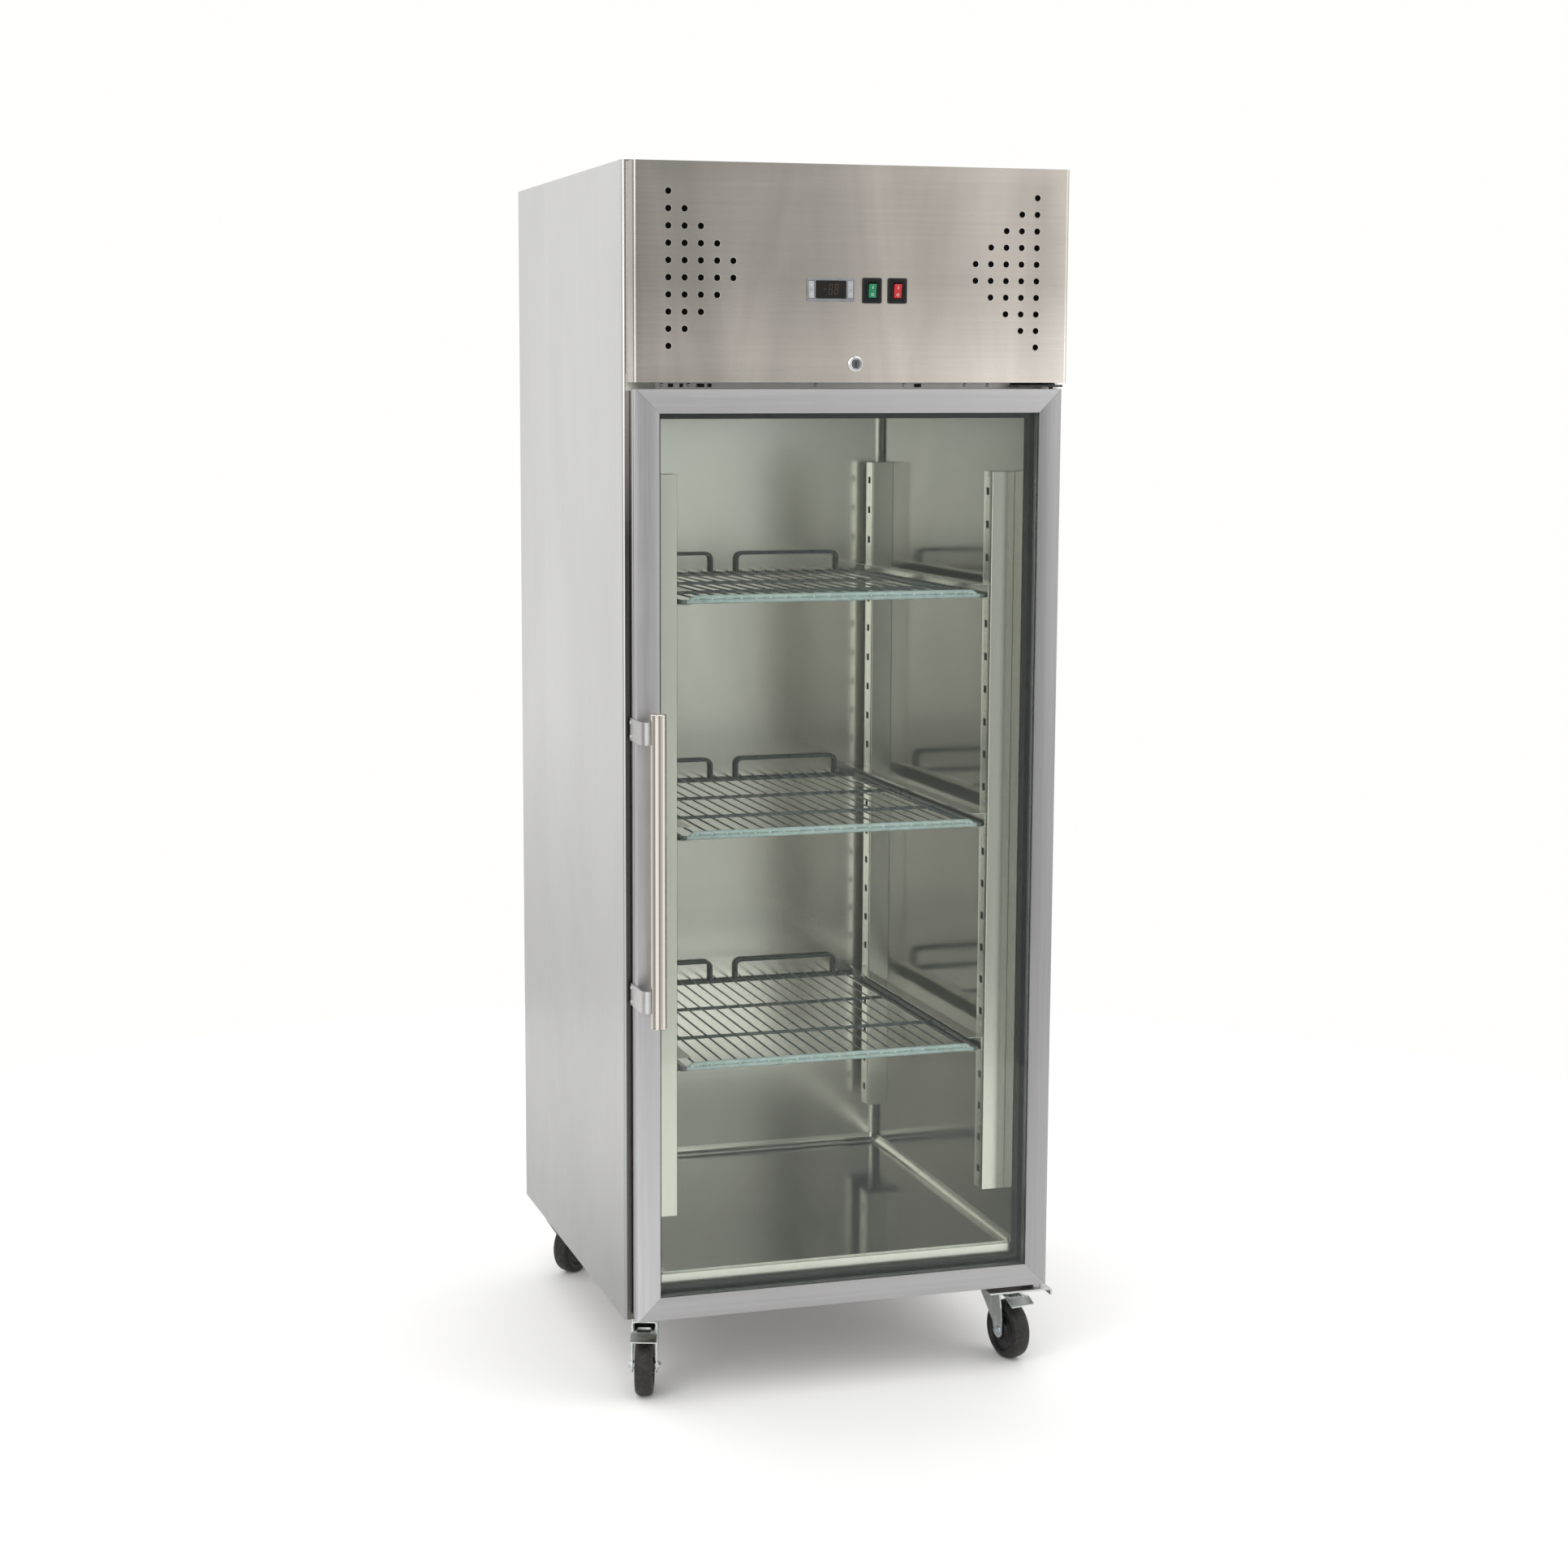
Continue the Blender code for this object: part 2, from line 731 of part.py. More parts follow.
def bar(bm, start, end, radius):
    """A square bar between two points, along one axis."""
    lo = [min(a, b) for a, b in zip(start, end)]
    hi = [max(a, b) for a, b in zip(start, end)]
    spans = []
    for a, b in zip(lo, hi):
        spans.append((a - radius, b + radius) if b - a < 1e-6 else (a, b))
    add_box(bm, *spans)


def shelf(level, mat):
    """A coated wire shelf: rods at the front, along the sides and across, with thin wires on top."""
    z = slot_height(SHELF_SLOTS[level])
    low = z - 0.0070
    high = z + 0.0002
    wire = low + ROD + WIRE * 0.8
    y0 = SHELF_Y[0] + ROD
    y1 = SHELF_Y[1] - ROD
    end = y1 - ROD - GAP
    front = bmesh.new()
    bar(front, (-SHELF_HALF, y0, low), (SHELF_HALF, y0, low), ROD)
    sides = bmesh.new()
    for x in (-SHELF_SIDE, SHELF_SIDE):
        bar(sides, (x, y0 - ROD, low), (x, end, low), ROD * 0.96)
    cross = bmesh.new()
    for part in (1 / 3, 2 / 3):
        y = y0 + (y1 - y0) * part
        under = low - 0.0006
        bar(cross, (-SHELF_SIDE, y, under), (SHELF_SIDE, y, under), ROD * 0.82)
    top = bmesh.new()
    bar(top, (-0.240, y0, high), (0.240, y0, high), ROD * 0.97)
    wires = bmesh.new()
    span = 0.235
    for i in range(SHELF_WIRES):
        x = -span + 2 * span * i / (SHELF_WIRES - 1)
        bar(wires, (x, y0 - ROD * 0.3, wire), (x, end, wire), WIRE)
    obj = closed_object(f"shelf_{level}", front, mat)
    parts = {"sides": sides, "cross": cross, "top": top, "wires": wires}
    join(obj, *[closed_object(f"shelf_{level}_{part}", shape) for part, shape in parts.items()])
    pivot_at(obj, Vector((0, y0, low)))
    return obj


def shelf_stops(level, mat):
    """The shelf's back rod with two upright stops on it, which keep goods off the back wall."""
    z = slot_height(SHELF_SLOTS[level])
    low = z - 0.0070
    y1 = SHELF_Y[1] - ROD
    rod = bmesh.new()
    bar(rod, (-SHELF_HALF, y1, low), (SHELF_HALF, y1, low), ROD)
    stops = bmesh.new()
    roof = z + STOP_HEIGHT
    thick = 2 * ROD * 0.9
    for side in (-1, 1):
        x0 = side * STOP_X - STOP_HALF
        x1 = side * STOP_X + STOP_HALF
        outline = [
            (x0, low),
            (x0 + thick, low),
            (x0 + thick, roof - thick),
            (x1 - thick, roof - thick),
            (x1 - thick, low),
            (x1, low),
            (x1, roof),
            (x0, roof),
        ]
        add_prism(stops, outline, y1 - thick / 2, y1 + thick / 2, "Y")
    obj = closed_object(f"shelf_stops_{level}", rod, mat)
    join(obj, closed_object(f"shelf_stops_{level}_loops", stops))
    pivot_at(obj, Vector((0, y1, low)))
    return obj


# ---------------------------------------------------------------- door


def mitred_bar(name, place, section, setback, mat=None):
    """A section of (distance in from the door's outer edge, y) points, swept along one side of the door.

    Its ends follow the 45 degree mitres, each set back from the mitre by the given amount.
    """
    bm = bmesh.new()
    ends = []
    for end in (0, 1):
        loop = []
        for inset, y in section:
            along = inset + setback
            if place in ("left", "right"):
                x = (-1 if place == "left" else 1) * (DOOR_HALF - inset)
                z = DOOR_Z[0] + along if end == 0 else DOOR_Z[1] - along
            else:
                x = along - DOOR_HALF if end == 0 else DOOR_HALF - along
                z = DOOR_Z[0] + inset if place == "bottom" else DOOR_Z[1] - inset
            loop.append(bm.verts.new((x, y, z)))
        ends.append(loop)
    bm.faces.new(ends[0])
    bm.faces.new(list(reversed(ends[1])))
    count = len(section)
    for i in range(count):
        j = (i + 1) % count
        bm.faces.new((ends[0][i], ends[1][i], ends[1][j], ends[0][j]))
    return closed_object(name, bm, mat)


def frame_member(name, place, mat):
    """One mitred hollow member of the door's frame, with a front lip and a rebate behind it for the glass."""
    section = [
        (0.0, DOOR_Y[0]),
        (FRAME_WIDE, DOOR_Y[0]),
        (FRAME_WIDE, DOOR_Y[0] + LIP),
        (REBATE_WIDE, DOOR_Y[0] + LIP),
        (REBATE_WIDE, DOOR_Y[1]),
        (0.0, DOOR_Y[1]),
    ]
    hollow = [
        (FRAME_WALL, DOOR_Y[0] + LIP),
        (REBATE_WIDE - FRAME_WALL, DOOR_Y[0] + LIP),
        (REBATE_WIDE - FRAME_WALL, DOOR_Y[1] - FRAME_WALL),
        (FRAME_WALL, DOOR_Y[1] - FRAME_WALL),
    ]
    obj = mitred_bar(name, place, section, GAP / 2, mat)
    cut(obj, mitred_bar(f"{name}_hollow", place, hollow, -0.005))
    if place in ("top", "bottom"):
        edge = DOOR_Z[1] if place == "top" else DOOR_Z[0]
        into = -1 if place == "top" else 1
        ends_z = sorted((edge - into * 0.005, edge + into * (PIN_DEPTH + 0.001)))
        cut(obj, prism(f"{name}_pin_hole", circle(DOOR_AXIS.xy, PIN_HOLE, 12), *ends_z))
    return obj


def frame_ring(name, outer_inset, inner_inset, y, mat=None):
    """A flat rectangular ring, both edges given as a distance in from the door's outer edge."""
    obj = box(
        name,
        (outer_inset - DOOR_HALF, DOOR_HALF - outer_inset),
        y,
        (DOOR_Z[0] + outer_inset, DOOR_Z[1] - outer_inset),
        mat,
    )
    window = box(
        f"{name}_window",
        (inner_inset - DOOR_HALF, DOOR_HALF - inner_inset),
        (y[0] - 0.01, y[1] + 0.01),
        (DOOR_Z[0] + inner_inset, DOOR_Z[1] - inner_inset),
    )
    cut(obj, window)
    return obj


def glass_pane(name, y, mat):
    inset = REBATE_WIDE + 0.0005
    return box(
        name,
        (inset - DOOR_HALF, DOOR_HALF - inset),
        (y, y + PANE),
        (DOOR_Z[0] + inset, DOOR_Z[1] - inset),
        mat,
    )


def door_gasket(y_glass, mat):
    """The seal on the door's back, with a thicker inner rim that presses on the inner pane."""
    seal = frame_ring("door_gasket", GASKET_WIDE[0], GASKET_WIDE[1], (DOOR_Y[1] + GAP, FRONT - GAP), mat)
    rim = frame_ring("gasket_rim", REBATE_WIDE + 0.0005, GASKET_WIDE[1], (y_glass, DOOR_Y[1] + 0.001))
    join(seal, rim)
    return seal


def handle_strap(place, z):
    """A strap screwed to the door's side, bent round and welded to the handle's tube."""
    inner = -DOOR_HALF - GAP
    outer = inner - BRACKET_THICK
    end = HANDLE_X - HANDLE_RADIUS + 0.0012
    reach = HANDLE_Y - BRACKET_THICK / 2
    bend = end - outer
    center = (end, reach + bend)
    outline = [
        (inner, FRONT - 0.010),
        (outer, FRONT - 0.010),
        *arc(center, bend, 180, 270, 5),
        *arc(center, bend - BRACKET_THICK, 270, 180, 5),
    ]
    return prism(f"strap_{place}", outline, z - BRACKET_TALL / 2, z + BRACKET_TALL / 2)


def door_handle(mat):
    """The tube with its two straps."""
    outline = circle((HANDLE_X, HANDLE_Y), HANDLE_RADIUS, 16)
    obj = prism("door_handle", outline, *HANDLE_Z, mat=mat)
    join(obj, *[handle_strap(place, z) for place, z in BRACKET_ZS.items()])
    shade(obj)
    return obj


def build_door(mats):
    outer_pane = DOOR_Y[0] + LIP + GAP
    spacer = outer_pane + PANE + GAP
    inner_pane = spacer + SPACER_DEEP + GAP
    behind = inner_pane + PANE + GAP
    pieces = [
        frame_member("door_stile_left", "left", mats["frame"]),
        frame_member("door_stile_right", "right", mats["frame"]),
        frame_member("door_rail_top", "top", mats["frame"]),
        frame_member("door_rail_bottom", "bottom", mats["frame"]),
        glass_pane("glass_outer", outer_pane, mats["glass"]),
        frame_ring(
            "glazing_spacer",
            REBATE_WIDE + 0.0005,
            REBATE_WIDE + 0.0005 + SPACER_WIDE,
            (spacer, spacer + SPACER_DEEP),
            mats["aluminium"],
        ),
        glass_pane("glass_inner", inner_pane, mats["glass"]),
        door_gasket(behind, mats["seal"]),
        door_handle(mats["stainless"]),
    ]
    for piece in pieces:
        pivot_at(piece, DOOR_AXIS)


# ---------------------------------------------------------------- fascia


def vent_holes():
    """Two mirrored triangles of round holes: each column further in is two holes shorter."""
    bm = bmesh.new()
    for side in (-1, 1):
        for column in range(5):
            rows = 10 - 2 * column
            x = side * (VENT_X - VENT_PITCH * column)
            for row in range(rows):
                z = VENT_Z + VENT_PITCH * (row - (rows - 1) / 2)
                add_prism(bm, circle((x, z), VENT_RADIUS, 6), FASCIA_Y[0] - 0.005, FASCIA_Y[0] + 0.005, "Y")
    return closed_object("vent_holes", bm)


def fascia_panel(mat):
    """A shallow tray with rounded front edges, a top and a bottom return, and its openings."""
    front, back = FASCIA_Y
    radius = FASCIA_CORNER
    in_x = FASCIA_HALF - SHEET
    outer = [
        (FASCIA_HALF, back),
        *arc((FASCIA_HALF - radius, front + radius), radius, 0, -90, 4),
        *arc((radius - FASCIA_HALF, front + radius), radius, -90, -180, 4),
        (-FASCIA_HALF, back),
    ]
    inner = [
        (-in_x, back),
        *arc((radius - FASCIA_HALF, front + radius), radius - SHEET, -180, -90, 4),
        *arc((FASCIA_HALF - radius, front + radius), radius - SHEET, -90, 0, 4),
        (in_x, back),
    ]
    tray = prism("fascia_panel", outer + inner, *FASCIA_Z, mat=mat)
    edge = FASCIA_HALF - radius
    top_z = (FASCIA_Z[1] - SHEET, FASCIA_Z[1])
    bottom_z = (FASCIA_Z[0], FASCIA_Z[0] + SHEET)
    top = box("fascia_top", (-in_x, in_x), (front + radius, back), top_z)
    top_front = box("fascia_top_front", (-edge, edge), (front + SHEET / 2, front + 0.02), top_z)
    bottom = box("fascia_bottom", (-edge, edge), (front + SHEET / 2, front + 0.016), bottom_z)
    bm = bmesh.new()
    through = (front - 0.005, front + 0.005)
    wide, tall = CONTROLLER_SIZE[0] / 2 - 0.003, CONTROLLER_SIZE[1] / 2 - 0.003
    x, z = CONTROLLER.x, CONTROLLER.z
    add_box(bm, (x - wide, x + wide), through, (z - tall, z + tall))
    for x in SWITCH_XS.values():
        wide, tall = SWITCH_SIZE[0] / 2 - 0.003, SWITCH_SIZE[1] / 2 - 0.003
        add_box(bm, (x - wide, x + wide), through, (SWITCH_Z - tall, SWITCH_Z + tall))
    add_prism(bm, circle((LOCK.x, LOCK.z), 0.0100, 12), *through, "Y")
    openings = closed_object("fascia_openings", bm)
    join(tray, top, top_front, bottom)
    cut(tray, vent_holes(), openings)
    return tray


def bezel_body(name, center, size, body_inset, body_deep, lip, mat):
    """A panel-mounted housing: a bezel in front of the sheet and a body through its opening."""
    x, front, z = center
    half = (size[0] / 2, size[1] / 2)
    bezel = box(
        name,
        (x - half[0], x + half[0]),
        (front - lip, front - GAP),
        (z - half[1], z + half[1]),
        mat,
    )
    body = box(
        f"{name}_body",
        (x - half[0] + body_inset, x + half[0] - body_inset),
        (front - lip / 2, front + body_deep),
        (z - half[1] + body_inset, z + half[1] - body_inset),
    )
    join(bezel, body)
    return bezel


def controller_housing(mat):
    obj = bezel_body("controller_housing", CONTROLLER, CONTROLLER_SIZE, 0.0035, 0.030, 0.0025, mat)
    bm = bmesh.new()
    wide, tall = KEY_SIZE[0] / 2 + 0.0005, KEY_SIZE[1] / 2 + 0.0005
    deep = (CONTROLLER.y - 0.0045, CONTROLLER.y + 0.0011)
    for side in (-1, 1):
        x = CONTROLLER.x + side * KEY_X
        add_box(bm, (x - wide, x + wide), deep, (CONTROLLER.z - tall, CONTROLLER.z + tall))
    cut(obj, closed_object("key_pockets", bm))
    return obj


def key_strip(name, side, mat):
    """A rocking key bar: pressed at its top or its bottom."""
    center = Vector((CONTROLLER.x + side * KEY_X, CONTROLLER.y - 0.0016, CONTROLLER.z))
    wide, tall = KEY_SIZE[0] / 2, KEY_SIZE[1] / 2
    obj = box(name, (-wide, wide), (-0.0013, 0.0010), (-tall, tall), mat)
    obj.location = center
    return obj


def switch_housing(colour, mat):
    center = Vector((SWITCH_XS[colour], FASCIA_Y[0], SWITCH_Z))
    obj = bezel_body(f"switch_{colour}_housing", center, SWITCH_SIZE, 0.0035, 0.024, 0.0035, mat)
    wide = ROCKER_SIZE[0] / 2 + 0.0008
    tall = ROCKER_SIZE[1] / 2 + 0.0010
    pocket = box(
        f"rocker_pocket_{colour}",
        (center.x - wide, center.x + wide),
        (center.y - 0.01, center.y + 0.012),
        (center.z - tall, center.z + tall),
    )
    cut(obj, pocket)
    return obj


def switch_rocker(colour, mat):
    """A rocker whose two faces meet at a shallow ridge, resting with its lower end pressed in."""
    tall = ROCKER_SIZE[1] / 2
    wide = ROCKER_SIZE[0] / 2
    ridge = 0.0030
    proud = ridge + tall * math.tan(ROCKER_TILT)
    outline = [
        (-ridge, 0.0),
        (-proud, tall),
        (0.0045, tall * 0.80),
        (0.0070, 0.0),
        (0.0045, -tall * 0.80),
        (-proud, -tall),
    ]
    obj = prism(f"switch_{colour}_rocker", outline, -wide, wide, "X", mat)
    obj.data.transform(Matrix.Rotation(ROCKER_TILT, 4, "X"))
    obj.location = (SWITCH_XS[colour], FASCIA_Y[0] - 0.0005, SWITCH_Z)
    return obj


def lock_body(mat):
    """The lock's fixed barrel with its round collar."""
    x, front, z = LOCK
    collar = prism("lock_body", circle((x, z), 0.0124, 20), front - 0.0035, front - GAP, "Y", mat)
    barrel = prism("lock_barrel", circle((x, z), 0.0095, 16), front - 0.002, front + 0.020, "Y")
    bore = prism("lock_bore", circle((x, z), 0.0066, 16), front - 0.01, front + 0.03, "Y")
    join(collar, barrel)
    cut(collar, bore)
    return collar


def lock_cylinder(mat):
    """The turning core, with its cam behind the barrel that drops behind the striker."""
    core = prism("lock_cylinder", circle((0, 0), 0.0060, 16), -0.0042, 0.0270, "Y", mat)
    cam = box("lock_cam", (-0.0215, 0.0050), (0.0240, 0.0262), (-0.0050, 0.0050))
    keyway = box("lock_keyway", (-0.0009, 0.0009), (-0.0100, 0.0030), (-0.0035, 0.0035))
    join(core, cam)
    cut(core, keyway)
    pivot = empty_at("lock_axis", LOCK)
    hang_on(pivot, core)
    return core


def build_fascia(mats):
    fascia_panel(mats["stainless"])
    controller_housing(mats["grey_plastic"])
    key_strip("key_strip_left", -1, mats["grey_plastic"])
    key_strip("key_strip_right", 1, mats["grey_plastic"])
    for colour in SWITCH_XS:
        switch_housing(colour, mats["black_plastic"])
        switch_rocker(colour, mats[f"{colour}_plastic"])
    lock_body(mats["chrome"])
    lock_cylinder(mats["chrome"])
    hinge = empty_at("fascia_axis", (0, FASCIA_Y[1], FASCIA_Z[1]))
    names = ["fascia_panel", "controller_housing", "switch_green_housing", "switch_red_housing", "lock_body"]
    for obj in [bpy.data.objects[n] for n in names]:
        moved(obj, -hinge.location)
        for mod in obj.modifiers:
            moved(mod.object, -hinge.location)
        hang_on(hinge, obj)


# ---------------------------------------------------------------- casters


def caster_fork(name, mat):
    """The pressed fork under its swivel race, with the axle bolt across it. Its swivel is the Z axis."""
    crown_z = (0.1225, 0.1255)
    leg_in, leg_out = 0.0190, 0.0218
    race = prism(name, circle((0, 0), 0.027, 16), crown_z[0], FORK_TOP, mat=mat)
    crown = prism(
        f"{name}_crown",
        [(-leg_out, -0.024), (leg_out, -0.024), (leg_out, 0.040), (-leg_out, 0.040)],
        *crown_z,
    )
    side_view = [
        (-0.024, crown_z[1]),
        (-0.024, 0.112),
        (TRAIL - 0.016, 0.062),
        *arc((TRAIL, WHEEL_RADIUS), 0.013, 200, 340, 5),
        (TRAIL + 0.013, 0.075),
        (0.040, crown_z[1]),
    ]
    bm = bmesh.new()
    add_prism(bm, side_view, -leg_out, -leg_in, "X")
    add_prism(bm, side_view, leg_in, leg_out, "X")
    legs = closed_object(f"{name}_legs", bm)
    axle = prism(f"{name}_axle", circle((TRAIL, WHEEL_RADIUS), AXLE_RADIUS, 8), -0.026, 0.026, "X")
    bm = bmesh.new()
    for lo, hi in ((-0.0275, -leg_out + 0.0005), (leg_out - 0.0005, 0.0275)):
        add_prism(bm, circle((TRAIL, WHEEL_RADIUS), 0.0075, 6), lo, hi, "X")
    nuts = closed_object(f"{name}_nuts", bm)
    join(race, crown, legs, axle, nuts)
    return race


def caster_wheel(name, mat):
    """A wheel with a rounded tread and a dished hub. One flat of its tread is down."""
    outer = WHEEL_RADIUS / math.cos(math.pi / WHEEL_SIDES)
    bore = AXLE_RADIUS + 0.0006
    half = WHEEL_HALF
    profile = [
        (bore, -half - 0.0015),
        (0.015, -half - 0.0015),
        (0.018, -half + 0.006),
        (0.038, -half + 0.004),
        (outer - 0.005, -half),
        (outer, -half + 0.007),
        (outer, half - 0.007),
        (outer - 0.005, half),
        (0.038, half - 0.004),
        (0.018, half - 0.006),
        (0.015, half + 0.0015),
        (bore, half + 0.0015),
    ]
    obj = ring(name, profile, WHEEL_SIDES, mat, turn=180 / WHEEL_SIDES)
    obj.location = (0, TRAIL, WHEEL_RADIUS)
    shade(obj)
    return obj


def brake_pedal(name, mat):
    """A pressed pedal, pivoted between the fork's legs, that bears on the tread when it is stepped on."""
    side_view = [
        (-0.004, 0.0015),
        (0.034, -0.0040),
        (0.062, -0.0060),
        (0.078, -0.0150),
        (0.079, -0.0125),
        (0.063, -0.0030),
        (0.034, -0.0012),
        (-0.004, 0.0040),
    ]
    obj = prism(name, side_view, -0.0175, 0.0175, "X", mat)
    wings = prism(f"{name}_wings", side_view[2:6], -0.0225, 0.0225, "X")
    join(obj, wings)
    obj.location = PEDAL_PIVOT
    wings.location = PEDAL_PIVOT
    return obj


def build_casters(mats):
    for spot, x, y in caster_spots():
        swivel = empty_at(f"caster_{spot}_swivel", (x, y, 0), math.radians(CASTER_TURNS[spot]))
        pieces = [
            caster_fork(f"caster_fork_{spot}", mats["zinc"]),
            caster_wheel(f"caster_wheel_{spot}", mats["wheel"]),
        ]
        if spot.startswith("front"):
            pieces.append(brake_pedal(f"brake_pedal_{spot}", mats["zinc"]))
        hang_on(swivel, *pieces)


# ---------------------------------------------------------------- whole


def build_cabinet(mats):
    for hand, side in SIDES.items():
        side_panel(f"side_panel_{hand}", side, mats["stainless"])
    back_panel(mats["stainless"])
    base_panel(mats["stainless"])
    machine_deck(mats["stainless"])
    insulation_foam(mats["foam"])
    inner_liner(mats["liner"])
    for hand, side in SIDES.items():
        for end in PILASTER_FRONTS:
            pilaster(end, hand, side, mats["liner"])
        for level in SHELF_SLOTS:
            runner(level, hand, side, mats["liner"])
    fascia_rail(mats["stainless"])
    hinge_bracket_upper(mats["black_metal"])


def build_cooling_unit(mats):
    finned_block("condenser_coil", CONDENSER_X, CONDENSER_Y, CONDENSER_Z, 14, mats["aluminium"])
    condenser_fan_motor(mats["black_metal"])
    fan_blades("condenser_fan_blades", CONDENSER_FAN_RADIUS, 5, "Y", CONDENSER_FAN, mats["aluminium"])
    compressor(mats["black_metal"])
    evaporator_coil(mats["aluminium"])
    fan_blades("evaporator_fan_blades", EVAPORATOR_FAN_RADIUS, 5, "Z", EVAPORATOR_FAN, mats["black_plastic"])


def main():
    clear_scene()
    mats = make_materials()
    build_cabinet(mats)
    build_cooling_unit(mats)
    for level in SHELF_SLOTS:
        shelf(level, mats["coated_wire"])
        shelf_stops(level, mats["coated_wire"])
    build_door(mats)
    build_fascia(mats)
    build_casters(mats)


main()
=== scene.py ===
"""The looks of the upright glass-door refrigerator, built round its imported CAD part.

Metres, +Z up, floor at Z = 0, front towards -Y, as in the part. The pieces that replace CAD nodes
follow the same sizes, with rounded bends, real holes, screws, wires and pipes.
"""

import math
from itertools import product

import bmesh
import bpy
from mathutils import Matrix, Vector


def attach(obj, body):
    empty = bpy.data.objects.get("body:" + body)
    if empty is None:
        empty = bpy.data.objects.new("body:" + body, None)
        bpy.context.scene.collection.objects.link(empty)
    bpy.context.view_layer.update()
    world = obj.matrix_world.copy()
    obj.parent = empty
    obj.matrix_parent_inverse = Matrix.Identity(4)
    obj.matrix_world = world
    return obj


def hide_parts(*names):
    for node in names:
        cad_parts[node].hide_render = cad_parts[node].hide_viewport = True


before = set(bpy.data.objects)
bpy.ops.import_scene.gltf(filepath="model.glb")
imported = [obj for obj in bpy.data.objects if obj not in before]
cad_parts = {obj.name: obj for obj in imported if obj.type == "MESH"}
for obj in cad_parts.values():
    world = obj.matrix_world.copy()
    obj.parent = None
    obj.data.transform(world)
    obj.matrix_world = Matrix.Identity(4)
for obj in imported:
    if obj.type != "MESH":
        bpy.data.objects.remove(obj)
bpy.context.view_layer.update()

# Sizes of the part
FRONT, BACK, HALF, HEIGHT = -0.322, 0.418, 0.37, 2.01
SHEET = 0.0012
BODY_BOTTOM, DECK_TOP, RAIL_BOTTOM = 0.143, 1.684, 1.64
ROOM_HALF, ROOM_BACK, ROOM_FLOOR, ROOM_CEILING, ROOM_CORNER = 0.31, 0.359, 0.214, 1.625, 0.015
PILASTER_Y = {"front": -0.287, "rear": 0.293}
PILASTER_Z = (0.301, 1.522)
SHELVES = {"upper": 1.324, "middle": 0.939, "lower": 0.554}
SIDES = {"left": -1, "right": 1}
DOOR_HALF, DOOR_Z, DOOR_Y = 0.358, (0.15, 1.657), (-0.362, -0.33)
HINGE = (0.346, -0.346)
HANDLE = (-0.3345, -0.4055, 0.0125)
FASCIA_HALF, FASCIA_Z, FASCIA_Y = 0.364, (1.667, 2.006), (-0.369, -0.325)
CONTROLLER = (-0.042, 1.812)
SWITCHES = {"green": 0.027, "red": 0.0695}
SWITCH_Z = 1.811
LOCK_Z = 1.696
CONDENSER = ((-0.3, 0.02), (-0.292, -0.237), (1.69, 1.97))
CONDENSER_FAN = (-0.14, -0.211, 1.83)
EVAPORATOR = ((-0.165, 0.165), (0.073, 0.303), (1.75, 1.84))
EVAPORATOR_FAN = (0.0, 0.178, 1.66)
COMPRESSOR = (0.205, -0.107, 1.6843)
CASTERS = {
    "front_left": (-0.316, -0.252, 162),
    "front_right": (0.316, -0.252, 190),
    "rear_left": (-0.316, 0.348, -48),
    "rear_right": (0.316, 0.348, 118),
}
WHEEL_RADIUS, TRAIL = 0.05, 0.036


# ---------------------------------------------------------------- finishes


M = {}  # every finish, by the name that the pieces call it


